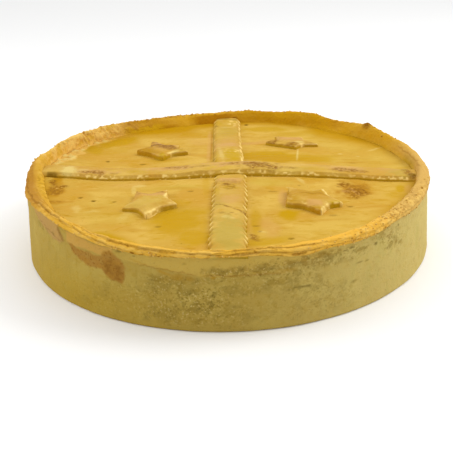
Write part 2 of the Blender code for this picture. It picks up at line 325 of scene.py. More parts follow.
def piece(name, mesh, material, slot, *nodes):
    """The mesh as a piece of the pie, standing for its CAD nodes."""
    obj = bpy.data.objects.new(name, mesh)
    bpy.context.scene.collection.objects.link(obj)
    mesh.materials.append(material)
    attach(obj, BODY)
    if nodes:
        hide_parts(*nodes)


# ---------------------------------------------------------------- materials


class Pastry:
    """A pastry material built up in layers of colour, then given its bumps and its gloss."""

    def __init__(self, name, colour):
        self.material = bpy.data.materials.new(name)
        self.material.use_nodes = True
        self.tree = self.material.node_tree
        self.shader = self.tree.nodes["Principled BSDF"]
        self.place = self.node("ShaderNodeTexCoord").outputs["Object"]
        plain = self.node("ShaderNodeRGB")
        plain.outputs[0].default_value = (*colour, 1.0)
        self.colour = plain.outputs[0]
        self.normal = None

    def node(self, kind, **settings):
        node = self.tree.nodes.new(kind)
        for key, value in settings.items():
            setattr(node, key, value)
        return node

    def link(self, start, end):
        self.tree.links.new(start, end)

    def mask(self, name):
        return self.node("ShaderNodeAttribute", attribute_name=name).outputs["Fac"]

    def grain(self, size, stretch_by=(1, 1, 1), detail=3.0, distortion=0.0, turn=0.0):
        """Noise with bumps of that size, longer where stretch_by is over 1."""
        mapping = self.node("ShaderNodeMapping")
        mapping.inputs["Scale"].default_value = [1 / (size * longer) for longer in stretch_by]
        mapping.inputs["Rotation"].default_value = (0, 0, math.radians(turn))
        self.link(self.place, mapping.inputs["Vector"])
        texture = self.node("ShaderNodeTexNoise")
        texture.inputs["Scale"].default_value = 1.0
        texture.inputs["Detail"].default_value = detail
        texture.inputs["Distortion"].default_value = distortion
        self.link(mapping.outputs[0], texture.inputs["Vector"])
        return texture.outputs["Fac"]

    def ranged(self, value, start, end, low=0.0, high=1.0):
        """The value from start to end, as low to high."""
        node = self.node("ShaderNodeMapRange", interpolation_type="SMOOTHSTEP")
        span = {"From Min": start, "From Max": end, "To Min": low, "To Max": high}
        for key, number in span.items():
            node.inputs[key].default_value = number
        self.link(value, node.inputs["Value"])
        return node.outputs["Result"]

    def sum(self, first, second, operation="ADD"):
        node = self.node("ShaderNodeMath", operation=operation)
        for slot, value in zip(node.inputs, (first, second)):
            if isinstance(value, (int, float)):
                slot.default_value = value
            else:
                self.link(value, slot)
        return node.outputs[0]

    def times(self, first, second):
        return self.sum(first, second, "MULTIPLY")

    def layers(self, *rows):
        """Colours, each over what is there. A row is its mask's name, or "" for all over, its
        colour, its strength, and what breaks it up: a texture and its range, as in ranged()."""
        for mask, colour, amount, *broken in rows:
            if mask:
                amount = self.times(self.mask(mask), amount)
            if broken:
                amount = self.times(self.ranged(*broken), amount)
            mix = self.node("ShaderNodeMix", data_type="RGBA", clamp_factor=True)
            mix.inputs[7].default_value = (*colour, 1.0)
            self.link(self.colour, mix.inputs[6])
            self.link(amount, mix.inputs[0])
            self.colour = mix.outputs[2]

    def bump(self, height, depth):
        """Relief of that depth in metres."""
        node = self.node("ShaderNodeBump")
        node.inputs["Strength"].default_value = 1.0
        node.inputs["Distance"].default_value = depth
        self.link(height, node.inputs["Height"])
        if self.normal:
            self.link(self.normal, node.inputs["Normal"])
        self.normal = node.outputs[0]

    def finish(self, roughness, shine):
        """The material, with its roughness and how strongly it mirrors, from 0 to 1."""
        self.link(self.colour, self.shader.inputs["Base Color"])
        self.link(self.normal, self.shader.inputs["Normal"])
        self.link(roughness, self.shader.inputs["Roughness"])
        self.shader.inputs["Specular IOR Level"].default_value = shine
        return self.material


# ---------------------------------------------------------------- the case


class PieCaseSettings(bpy.types.PropertyGroup):
    wall_colour: ColourProperty(
        name="Wall Colour", description="Colour of the dry wall", default=(0.430, 0.297, 0.060)
    )
    rim_colour: ColourProperty(
        name="Rim Colour", description="Colour of the rolled rim", default=(0.690, 0.390, 0.040)
    )
    toasted_colour: ColourProperty(
        name="Toasted Colour",
        description="Colour of the rim's browned inner face",
        default=(0.600, 0.315, 0.005),
    )
    brown_colour: ColourProperty(
        name="Brown Colour",
        description="Colour of the browned edges and spots",
        default=(0.230, 0.085, 0.006),
    )
    lumps: LengthProperty(
        name="Lumps", description="Height of the lumps left by hand rolling", default=0.00045
    )
    around: IntProperty(name="Around", description="Points round the pie", default=1440)


# Edges where one layer of dough lies over another: from azimuth, share across the rim from its lip
# (0) to the lid (1), to azimuth, share, the step, and +1 where the inner layer is on top.
RIM_FOLDS = (
    (183, 0.26, 231, 0.33, 0.001, 1), (192, 0.62, 228, 0.62, 0.0004, 1),
    (224, 0.62, 258, 0.3, 0.0008, 1), (226, 0.34, 250, 0.12, 0.0007, 1),
    (234, 0.46, 284, 0.24, 0.0006, 1), (262, 0.62, 300, 0.36, 0.0007, 1),
    (268, 0.3, 312, 0.12, 0.0006, 1), (292, 0.3, 352, 0.16, 0.0004, 1),
    (166, 0.34, 190, 0.22, 0.0006, 1), (112, 0.26, 160, 0.2, 0.0004, 1),
    (350, 0.62, 376, 0.72, 0.0004, -1),
)  # fmt: skip
FOLD_REACH = 5.0 * MM
FOLD_EDGE = 0.35 * MM
FLAKE_LONG = 360 / 128  # degrees; a whole turn is a whole number of the noise's rounds
ROUND_BY = math.radians(1) * RIM_RADIUS / MM  # mm round the rim for each degree
HIDDEN_ROWS = 8  # how many of the case's last rows the lid hides
FLAKE_HEIGHT, FLAKE_STREAKS = 0.00042, 0.00022
CRUMBLE_HEIGHT, THIN_EDGE_HEIGHT, CRINKLE_HEIGHT = 0.00030, 0.00045, 0.00045
CELL_HEIGHT, CRACK_DEPTH = 0.00070, 0.00030
BUBBLE_AZIMUTH, BUBBLE_PLACE, BUBBLE_HEIGHT = 33.5, 0.50, 0.0014

# Edges of the folded dough on the wall: from azimuth, height, to azimuth, height, and the step.
WALL_FLAPS = (
    (207.0, 48.0, 224.8, 39.6, 0.7 * MM),
    (225.3, 40.0, 222.9, 49.0, 0.8 * MM),
    (247.0, 39.4, 263.5, 35.4, 0.45 * MM),
    (263.5, 35.4, 283.0, 34.4, 0.30 * MM),
)

# Patches on the wall: how soft their edges are, and their outlines by azimuth and height.
WALL_PATCHES = {
    "browned": (
        0.8, (226.8, 41), (229.7, 39.4), (233.2, 39.8), (235.9, 39.2), (238.1, 39.4), (239.1, 42.8),
        (240.6, 44), (242.6, 41.8), (244.3, 38.2), (245.3, 35), (244.6, 31.4), (244, 24.4),
        (241, 25.6), (239.3, 28.4), (238.2, 31.6), (236.3, 31), (233.7, 31), (231, 32.2),
        (228.4, 35.2),
    ),
    "darker": (
        1.8, (239, 35.8), (241.3, 38.8), (243.6, 35.4), (244.2, 30.8), (243.7, 25), (241, 26.2),
        (239.4, 29.2),
    ),
    "pink": (
        1.2, (226, 50), (229.6, 48), (238, 46), (242.5, 46), (241.4, 43), (238.8, 39.8),
        (236.6, 39.2), (233.3, 40.4), (229.7, 40), (226.6, 41.4),
    ),
    "flap": (
        1, (207, 49.5), (214, 50.5), (219.1, 50.6), (222.9, 50), (224.3, 44.8), (225.4, 40.4),
        (223.2, 38.4), (219.8, 38.4), (215.9, 41), (211.1, 44.6),
    ),
}  # fmt: skip
WALL_MARKS = {
    "dashes": (
        (294.5, 42.2, 0.9, 0.5, -25, 0.6), (298.3, 40.2, 1.3, 0.5, -40, 0.9),
        (300.3, 41, 0.8, 0.6, -30, 0.9), (308.2, 37.8, 0.5, 0.8, 0, 1),
        (317.4, 42.6, 0.5, 0.9, 0, 0.9), (310.8, 46, 0.8, 0.5, 0, 0.6),
        (286.5, 39, 1, 0.6, -15, 0.6), (302.8, 30.2, 1, 0.6, 0, 0.8),
        (305.2, 29.6, 0.8, 0.5, 0, 0.7), (286.6, 24.2, 2.2, 0.7, -8, 0.9),
        (283.6, 23.4, 1.2, 0.5, 0, 0.5), (300.9, 19.5, 0.9, 0.7, 0, 0.5),
        (285.6, 44.8, 1.4, 1.2, 0, 0.75), (287, 45.4, 0.8, 0.8, 0, 0.6),
        (252, 30, 1.4, 0.6, 0, 0.5), (270.8, 16, 0.7, 1.1, 0, 0.6), (221, 42, 0.8, 1.2, 0, 0.6),
        (216.5, 42, 0.7, 0.9, 0, 0.4), (243.3, 44.8, 0.7, 1.2, -30, 0.8),
        (247.6, 43.4, 0.4, 0.5, 0, 0.7), (259.8, 42, 0.4, 0.4, 0, 0.4),
        # (89.5, 49.3), (86.3, 49.2) and (92.5, 49.2) are painted shade in the gap where the along
        # ribbon's back end meets the rim
        (281.2, 43.4, 0.3, 0.3, 0, 0.7), (89.5, 49.3, 1.6, 0.4, 0, 0.9),
        (86.3, 49.2, 0.9, 0.5, 0, 1), (92.5, 49.2, 1, 0.3, 0, 0.7),
    ),
    "tan": (
        (254.5, 35.4, 2.6, 0.9, -38, 0.9), (258, 33.4, 1.7, 1.9, 0, 0.7),
        (260.8, 33, 1.4, 1.6, 0, 0.5), (266.3, 33.9, 0.55, 0.8, 0, 1),
        (275.6, 36, 1.6, 1.2, 0, 0.5), (248.6, 40.4, 3, 0.5, -25, 0.6), (271, 34.5, 3, 0.5, 5, 0.4),
        (282, 35.4, 4, 1.3, 0, 0.4),
    ),
    "soiled": (
        (273, 38.5, 7, 2.6, 0, 0.8), (281, 39, 7, 3, 0, 0.9), (290, 39.5, 6, 3.6, -10, 1),
        (296, 42, 3, 1.5, -25, 0.8), (256, 33, 8, 2, -12, 0.5), (313, 42, 3, 4, 0, 0.5),
    ),
    "mottled": (
        (257, 31, 9, 3.5, 0, 0.7), (256, 22, 9, 10, 0, 0.65), (263, 19, 8, 10, 0, 1),
        (272, 36.5, 9, 4, 0, 0.9), (273, 28, 9, 5.5, 0, 0.45), (283, 37.5, 10, 4.5, -5, 0.75),
        (283, 30, 9, 4.5, 0, 0.6), (293, 38, 8, 5, 0, 0.75), (301, 38, 6, 5, 0, 0.65),
        (287, 23.5, 7, 4, 0, 0.5), (313, 38, 3.2, 8, 8, 0.8), (317, 35, 2.4, 10, 8, 0.6),
        (309, 43, 4, 3, 0, 0.5), (246, 20, 9, 8, 0, 0.3), (216, 42, 6, 4, 0, 0.5),
        (240, 10, 14, 8, 0, 0.25), (262, 12, 16, 9, 0, 0.65), (290, 14, 16, 9, 0, 0.35),
        (30, 22, 26, 14, 0, 0.5), (78, 30, 14, 9, 0, 0.6), (110, 16, 24, 10, 0, 0.45),
        (148, 32, 13, 8, 0, 0.55), (180, 18, 12, 12, 0, 0.4),
    ),
    "tinged": (
        (320, 48, 4.5, 2, 0, 0.6), (335, 47, 9, 2, 0, 0.5), (352, 49, 10, 2.2, 0, 0.5),
        (203, 50, 7, 2.2, 0, 0.6),
    ),
}  # fmt: skip


def fold_edge(along, away, step, reach, width):
    """Relief of the edge of a layer of dough, and the crease beside it."""
    inside = rise(along, 0.0, reach) * rise(along, 1.0, 1 - reach)
    over = rise(away, -FOLD_EDGE, FOLD_EDGE) * np.exp(-np.maximum(away, 0) / FOLD_REACH)
    return step * over * inside, inside * width


def fold_relief(azimuth, share, run):
    """Height of the layers' edges and how strongly each place is in an edge's crease."""
    height, crease = np.zeros_like(share), np.zeros_like(share)
    for start, start_share, end, end_share, step, side in RIM_FOLDS:
        along = ((azimuth - start) % 360) / (end - start)
        line = start_share + (end_share - start_share) * np.clip(along, 0, 1)
        wander = rough(places(azimuth, 0 * share + start / 7), (FLAKE_LONG, 1, 1), 24)
        line = line + 0.03 * uneven(azimuth, start) + 0.045 * wander
        away = (share - line) * run * side
        lift, dent = fold_edge(along, away, step, 0.14, hump(away, -FOLD_EDGE, 0.45 * MM))
        height += lift
        crease = np.maximum(crease, dent)
    return height, crease


def flap_relief(azimuth, height):
    """The wall's folded flaps: relief and crease, as fold_relief gives."""
    relief, crease = np.zeros_like(height), np.zeros_like(height)
    x, z = azimuth * ROUND_BY, height / MM
    for start, low, end, high, step in WALL_FLAPS:
        along, away = beside(x, z, (start * ROUND_BY, low), (end * ROUND_BY, high))
        away = MM * (away + 0.25 * np.sin(along * 23) + 0.2 * np.sin(along * 57))
        lift, dent = fold_edge(along, away, step, 0.12, hump(away, 0, 0.5 * MM))
        relief += lift
        crease = np.maximum(crease, dent)
    return relief, crease


def case_rows(azimuth):
    """The case's section at each azimuth, with the row where the rim starts."""
    turn = np.radians(azimuth)
    foot = along_rim(azimuth, *FOOT_RADIUS)
    crest = along_rim(azimuth, *CREST_HEIGHT)
    lip = along_rim(azimuth, *LIP_HEIGHT)
    crest_radius = foot + along_rim(azimuth, *CREST_SHARE) * (RIM_RADIUS - foot)
    crease_radius = RIM_RADIUS - CREASE_PLACE * (RIM_RADIUS - crest_radius)
    inner_radius = crest_radius - INNER_START
    bend_radius = foot + INNER_BEND_PLACE * (inner_radius - foot)
    rim_rise = crest - lip
    lid_edge = lid_height(foot * np.cos(turn), foot * np.sin(turn))
    wave = WALL_WAVE * uneven(azimuth, 0.7)
    band = BAND_PROUD * stretch(azimuth, BAND_CENTRE, BAND_SPREAD, 4)
    sag = BAND_SAG * stretch(azimuth, SAG_CENTRE, SAG_SPREAD)
    band_edge = BAND_HEIGHT + BAND_WAVE * uneven(azimuth, 2.3) - sag

    rows = []
    level = np.zeros_like(azimuth)
    for angle in np.linspace(0, math.pi / 2, 6):
        radius = BASE_RADIUS - CORNER_RADIUS * (1 - math.sin(angle)) + wave * math.sin(angle)
        rows.append((radius, level + CORNER_RADIUS * (1 - math.cos(angle))))
    for share in np.linspace(0, 1, 60)[1:]:
        height = CORNER_RADIUS + share * (lip - LAYER_STEP - CORNER_RADIUS)
        step = rise(height, band_edge - BAND_PROUD, band_edge + BAND_PROUD)
        rows.append((wave + wall_radius(height) + band * step, height))
    controls = np.array(
        [
            rows[-1],
            (wave + RIM_RADIUS, lip),
            (level + RIM_RADIUS, lip + BULGE_BOTTOM * rim_rise),
            (level + RIM_RADIUS - LAYER_STEP, lip + BULGE_TOP * rim_rise),
            (crease_radius, lip + CREASE_EDGE * rim_rise),
            (crest_radius, crest),
            (inner_radius, crest - LAYER_STEP),
            (bend_radius, lid_edge + INNER_BEND_RISE * (crest - lid_edge)),
            (foot + LAYER_STEP, lid_edge + LAYER_STEP),
            (foot, lid_edge - LAYER_STEP),
            (foot, level + RECESS_FLOOR),
        ]
    )
    rim = curve_through(np.moveaxis(controls, 1, 2), (4, 7, 9, 8, 10, 7, 12, 12, 4, 3))
    wall = np.moveaxis(np.array(rows[:-1]), 1, 2)
    return np.concatenate([wall, rim]), len(wall)


def wall_masks(azimuth, height, ragged, off_rim):
    """The wall's patches, dashes, smudges and mottles."""
    masks = {}
    for name, (soft, *outline) in WALL_PATCHES.items():
        outline = [(ROUND_BY * corner, up) for corner, up in outline]
        found = patch(ROUND_BY * azimuth, height / MM, outline, soft, 3 * ragged)
        masks[name] = found * off_rim
    for name, marks in WALL_MARKS.items():
        edge = 1.5 * ragged if name in ("dashes", "soiled") else ragged
        masks[name] = cover(azimuth, height / MM, marks, edge)
    for name in ("tan", "soiled", "mottled"):
        masks[name] = masks[name] * off_rim
    masks["pink"] = np.maximum(masks["pink"], masks.pop("tinged"))
    return masks


def toasting(azimuth, share, on_rim, patchy, streaky):
    """How toasted, how amber and how baked each place on the rim is."""
    near, across = partial(stretch, azimuth), partial(rise, share)
    back, inner = near(68, 60, 10), across(0.40, 0.55)  # the amber inner face
    at_end = near(20, 20, 4)
    toasted = back * inner * (0.84 + 0.25 * patchy + 0.22 * streaky) * (1 - 0.25 * at_end)
    toasted += 0.12 * near(232, 30, 4) * across(0.3, 0.02) * on_rim
    toasted += 0.25 * across(0.10, 0.02) * on_rim
    amber = near(94, 9, 4) * (1.15 + 0.3 * patchy) * across(0.50, 0.66)
    amber += near(118, 12, 4) * (0.85 + 0.5 * patchy + 0.3 * streaky)
    amber += 0.12 * back * rise(streaky, 0.0, 0.6) * (1 - at_end) + 0.30 * near(78, 7, 4)
    amber += (0.1 * near(57, 4) + 0.5 * near(47, 5)) * across(1.0, 0.7)
    baked = near(196, 17, 4) * hump(share, 0.32, 0.32) * (1.1 + 0.5 * patchy)
    baked += 0.5 * near(211, 11, 4) * hump(share, 0.30, 0.18)
    baked += 0.7 * near(178, 12) * across(0.60, 0.35)
    return {"toasted": toasted, "amber": amber * inner, "baked": baked * on_rim}


def case_shape(settings):
    """The case's grid of points, its masks, and how far each point is across the rim."""
    around = np.arange(settings.around) * 360.0 / settings.around
    section, rim_row = case_rows(around)
    turn = np.radians(around)
    radius, height = section[..., 0], section[..., 1]
    grid = places(radius * np.cos(turn), radius * np.sin(turn), height)
    azimuth = np.broadcast_to(around, radius.shape)

    steps = np.linalg.norm(np.diff(section[rim_row:], axis=0), axis=-1)
    run = np.concatenate([np.zeros_like(steps[:1]), np.cumsum(steps, axis=0)])
    whole = run[-HIDDEN_ROWS]
    share = np.zeros_like(radius)
    share[rim_row:] = run / whole
    near, across = partial(stretch, azimuth), partial(rise, share)
    on_rim = across(-0.001, 0.04)
    on_rim[:rim_row] = 0
    off_rim = 1 - on_rim
    moves = rise(height, 0.0004, 0.003) * (1 - across(1.0, 1.15))  # not its foot or hidden rows

    # where the rim is flaky, crumbly, thin-edged, lumpy or crinkled
    flaky = (near(250, 48, 6) + 0.4 * near(330, 30, 4)) * on_rim
    crumbly = near(318, 20, 4) * across(0.02, 0.15) * across(1.0, 0.8)
    crumbly = crumbly + 0.5 * near(170, 12, 4) * across(0.5, 0.3) * on_rim
    thin_edge = np.minimum(near(95, 34, 4) + near(130, 22) + 0.7 * near(42, 24, 4), 1)
    thin_edge = thin_edge * across(0.58, 0.46) * across(0.12, 0.3)
    lumpy = near(150, 28, 6) * across(0.38, 0.55) * across(1.02, 0.9)
    bubble = hump(azimuth, BUBBLE_AZIMUTH, 1.5) * hump(share, BUBBLE_PLACE, 0.14) * on_rim

    polar, slanted = places(azimuth, share), places(azimuth + 5.0 * share, share)
    grain, fine = noise(grid, 0.0030, 11), noise(grid, 0.0016, 12)
    flakes = noise(polar, (FLAKE_LONG, 0.16, 1), 15)
    flakes += 0.5 * noise(polar, (FLAKE_LONG / 2, 0.07, 1), 16) + 0.2 * noise(grid, 0.0013, 30)
    streaks = noise(polar, (FLAKE_LONG / 4, 3.0, 1), 20)
    in_patches = rise(noise(polar, (2 * FLAKE_LONG, 0.5, 1), 25), -0.15, 0.35)
    crinkled = near(148, 22, 4) * across(0.35, 0.6) * across(1.0, 0.85) * in_patches
    ridges = noise(slanted, (FLAKE_LONG / 4, 0.45, 1), 17) + 0.7 * noise(grid, 0.0045, 18)
    ridge_cut = rise(noise(slanted, (FLAKE_LONG / 4, 0.30, 1), 19), 0.38, 0.70)
    cells = noise(grid, 0.0050, 27) + 0.6 * noise(grid, 0.0023, 28)
    crackle = hump(cells, 0, 0.09)

    folds, crease = fold_relief(azimuth, share, whole)
    flaps, flap_crease = flap_relief(azimuth, height)
    relief = settings.lumps * rough(grid, 0.011, 3) * (0.35 + 0.65 * on_rim)
    relief += folds * on_rim + flaps * off_rim
    relief += 0.00012 * fine * (0.4 + on_rim)
    relief += flaky * FLAKE_HEIGHT * rise(flakes, -0.12, 0.12)
    relief += flaky * FLAKE_STREAKS * streaks * across(0.25, 0.0)
    relief += crumbly * CRUMBLE_HEIGHT * (np.abs(fine) * 2 - 0.6 + 0.9 * grain)
    relief += thin_edge * THIN_EDGE_HEIGHT * (np.abs(fine) * 2 - 0.5 + 0.6 * grain)
    relief += crinkled * CRINKLE_HEIGHT * (ridges - ridge_cut)
    relief += lumpy * (CELL_HEIGHT * cells - CRACK_DEPTH * crackle) + BUBBLE_HEIGHT * bubble
    grid = grid + outward(grid) * (relief * moves)[..., None]
    grid[..., 2] = np.maximum(grid[..., 2], 0)

    patchy = noise(grid, 0.016, 31)
    streaky = noise(polar, (4 * FLAKE_LONG, 0.14, 1), 29)
    masks = wall_masks(azimuth, height, 0.35 * rough(grid, 0.006, 21), off_rim)
    masks |= toasting(azimuth, share, on_rim, patchy, streaky)
    inner_edge = near(192, 13, 4) * across(0.62, 0.74)
    # the lip's browned edge, with painted shadow under the lip
    lip_line_and_shadow = hump(share - 0.03 * grain - 0.02 * fine, 0.05, 0.028)
    # browned thin edges, crumbs, bubble and specks, with painted shade where noted
    brown_and_shaded_edges = 0.65 * thin_edge * rise(fine, -0.1, 0.5)
    brown_and_shaded_edges += 0.20 * crumbly * rise(-fine - 0.5 * grain, 0.15, 0.7)
    brown_and_shaded_edges += 0.80 * near(328, 26, 4) * lip_line_and_shadow * rise(fine, -0.4, 0.3)
    brown_and_shaded_edges += 0.95 * near(260, 32, 4) * lip_line_and_shadow * rise(fine + grain, -0.6, 0.3)
    # painted shade along the flakes' edges
    brown_and_shaded_edges += flaky * hump(flakes, 0, 0.07) * (0.34 + 0.38 * grain + 0.28 * fine)
    # painted shade in the lumps' cracks
    brown_and_shaded_edges += 0.30 * lumpy * crackle * rise(fine, -0.1, 0.5)
    # the browned bubble, and painted shade in the crinkles' grooves
    brown_and_shaded_edges += 1.3 * bubble + 0.38 * crinkled * ridge_cut
    brown_and_shaded_edges += 0.35 * inner_edge * rise(-fine - 0.5 * grain, 0.1, 0.6)
    # the lip's browned edge on the right, with painted shadow under it
    right_lip_line_and_shadow = 0.5 * near(352, 16, 4) * hump(share, 0.10, 0.05)
    # painted shade in the creases beside the folds of the rim and the wall
    in_crease = 0.28 + 0.30 * near(262, 36, 4) * (1 + grain) + 0.4 * near(217, 7, 4)
    crease_shade = np.maximum(crease * on_rim * in_crease, 0.5 * flap_crease * off_rim)
    dashes = masks["dashes"]
    # an olive tone low on the back right inner face; painted shade along the rim's foot on the
    # right and in the gap at the across ribbon's right end
    olive_and_foot_shade = 0.3 * near(28, 26, 4) * across(0.85, 1.0) + 0.8 * near(2, 6, 4) * across(0.60, 0.9)
    olive_and_foot_shade += 0.9 * near(335, 14, 4) * across(0.90, 1.0)
    band_edge = BAND_HEIGHT - BAND_SAG * near(SAG_CENTRE, SAG_SPREAD)
    band = rise(height + 0.0006 * grain, band_edge - 0.0012, band_edge + 0.0006)
    # pale dry dough, painted lighter as highlight on the raised tops of the crumbs, flakes, ridges
    # and lumps and along the bright inner and outer edges at the left
    pale = 0.80 * crumbly * rise(fine + 0.5 * grain, 0.0, 0.6)
    pale += 0.50 * flaky * rise(flakes, 0.1, 0.6)
    pale += 0.90 * crinkled * rise(ridges, 0.0, 0.7) + 0.85 * lumpy * rise(cells, 0.10, 0.30)
    pale += 0.55 * inner_edge * rise(fine + grain, 0.1, 0.7)
    pale += 0.80 * near(214, 14, 4) * hump(share, 0.03, 0.03) * on_rim
    glazed = near(122, 8, 4) * rise(share + 0.10 * patchy + 0.08 * grain, 0.70, 0.84)
    glazed += 0.35 * inner_edge + 0.6 * lumpy * rise(cells, -0.10, -0.35)
    masks |= {
        "on_rim": on_rim,
        "glazed": glazed,
        "biscuit": near(342, 38, 4) * on_rim * across(1.0, 0.8),
        "orange": (0.85 * near(300, 16, 4) + 0.42 * near(248, 40, 4)) * on_rim,
        "dashes": dashes * off_rim,
        # browned marks and edges, with painted shade in creases, cracks, grooves and under the lip
        "scorched_and_shaded": np.maximum.reduce([dashes * on_rim, brown_and_shaded_edges, crease_shade, right_lip_line_and_shadow]),
        "band": near(270, 27, 6) * band * off_rim,
        # olive tone, with painted shade at the rim's foot
        "olive_and_foot_shade": olive_and_foot_shade,
        "pale": pale,
        "peach": near(147, 27, 4) * across(0.2, 0.45) * (1.0 + 0.4 * patchy),
        "golden": near(228, 24) * rise(height, 0.034, 0.008),
        # painted light: the wall lighter towards its right, where the key light falls
        "painted_lit_wall": rise(np.cos(np.radians(azimuth + 15)), 0.25, 1.0) * off_rim,
    }
    return grid, {name: np.clip(values, 0, 1) for name, values in masks.items()}, share


def case_material(settings):
    pastry = Pastry("baked_crust", settings.wall_colour)
    mottle = pastry.grain(0.0030, (1.5, 1.5, 1.0), detail=4.0, distortion=0.6)
    speck = pastry.grain(0.0013)
    cloud = pastry.grain(0.019, distortion=0.3)
    upright = pastry.grain(0.0045, (1.0, 1.0, 3.5), distortion=0.4)
    blotches = pastry.grain(0.0060, (1.3, 1.3, 1.0), detail=5.0, distortion=0.8)
    pastry.layers(
        ("", (0.490, 0.360, 0.080), 0.55, cloud, 0.44, 0.66),
        ("", (0.350, 0.245, 0.042), 0.45, mottle, 0.56, 0.70),
        ("", (0.340, 0.235, 0.040), 0.35, upright, 0.56, 0.70),
        # painted light on the wall's lit right side
        ("painted_lit_wall", (0.670, 0.540, 0.200), 0.55),
        ("painted_lit_wall", (0.500, 0.400, 0.110), 0.45, upright, 0.50, 0.66),
        ("golden", (0.440, 0.285, 0.030), 0.70),
        ("band", (0.555, 0.372, 0.075), 0.85),
        ("mottled", (0.245, 0.170, 0.030), 0.75, blotches, 0.47, 0.60),
        ("mottled", (0.250, 0.175, 0.032), 0.50, mottle, 0.50, 0.62),
        ("soiled", (0.270, 0.155, 0.028), 0.48, mottle, 0.42, 0.58, 0.25, 1.0),
        ("mottled", (0.170, 0.120, 0.022), 0.65, speck, 0.55, 0.65),
        ("mottled", (0.600, 0.460, 0.160), 0.75, speck, 0.42, 0.32),
        ("tan", (0.430, 0.235, 0.022), 0.75),
        ("flap", (0.465, 0.265, 0.083), 0.80),
        ("pink", (0.580, 0.320, 0.070), 0.75),
        ("browned", (0.370, 0.190, 0.034), 1.0, mottle, 0.28, 0.52, 0.72, 1.0),
        ("darker", (0.270, 0.125, 0.016), 1.0, mottle, 0.30, 0.60, 1.0, 0.45),
        ("browned", (0.250, 0.105, 0.012), 0.70, speck, 0.54, 0.66),
        ("dashes", (0.165, 0.115, 0.022), 0.80),
        ("on_rim", settings.rim_colour, 1.0),
        ("on_rim", (0.710, 0.440, 0.075), 0.50, cloud, 0.40, 0.62),
        ("on_rim", (0.560, 0.290, 0.028), 0.45, mottle, 0.52, 0.66),
        ("peach", (0.870, 0.540, 0.140), 0.80),
        ("baked", (0.400, 0.182, 0.024), 0.90),
        ("biscuit", (0.610, 0.375, 0.105), 0.85),
        ("orange", (0.800, 0.445, 0.055), 0.95),
        # pale dough, with painted highlights on raised tops and bright edges
        ("pale", (0.800, 0.530, 0.135), 0.75),
    )
    patchy = pastry.sum(pastry.mask("toasted"), pastry.ranged(mottle, 0.3, 0.7, -0.10, 0.10))
    pastry.layers(
        ("", settings.toasted_colour, patchy),
        ("amber", (0.370, 0.148, 0.001), 0.95),
        # olive tone, with painted shade at the rim's foot
        ("olive_and_foot_shade", (0.390, 0.260, 0.010), 0.60),
        ("glazed", (0.600, 0.345, 0.006), 0.85),
        # browned edges and spots, with painted shade in creases, cracks, grooves and under the lip
        ("scorched_and_shaded", settings.brown_colour, 1.0, speck, 0.28, 0.60, 0.55, 1.0),
        ("", (0.200, 0.125, 0.015), 0.22, speck, 0.62, 0.72),
    )
    pastry.bump(speck, depth=0.00040)
    pastry.bump(pastry.grain(0.0007, detail=2.0), depth=0.00014)
    return pastry.finish(pastry.ranged(pastry.mask("toasted"), 0.1, 0.9, 0.62, 0.36), shine=0.02)


class PIE_OT_make_case(bpy.types.Operator):
    """Make the baked case with its wall and rolled rim"""

    bl_idname = "pie.make_case"
    bl_label = "Make Case"

    def execute(self, context):
        settings = context.scene.pie_case
        grid, masks, _ = case_shape(settings)
        mesh = skin("pie_case_baked", grid, masks, (0, 0, 0), (0, 0, RECESS_FLOOR))
        piece("baked_case", mesh, case_material(settings), "baked_case", "pie_case")
        return {"FINISHED"}


# ---------------------------------------------------------------- the lid


class PieLidSettings(bpy.types.PropertyGroup):
    lid_colour: ColourProperty(
        name="Lid Colour", description="Colour of the glazed lid", default=(0.566, 0.340, 0.052)
    )
    pool_colour: ColourProperty(
        name="Pool Colour",
        description="Colour where the egg glaze has pooled",
        default=(0.500, 0.280, 0.001),
    )
    streaks: ShareProperty(
        name="Streaks", description="Strength of the glaze brush's streaks", default=0.54
    )
    around: IntProperty(name="Around", description="Points round the lid", default=840)
    rings: IntProperty(
        name="Rings", description="Rings of points from the middle to the rim", default=150
    )


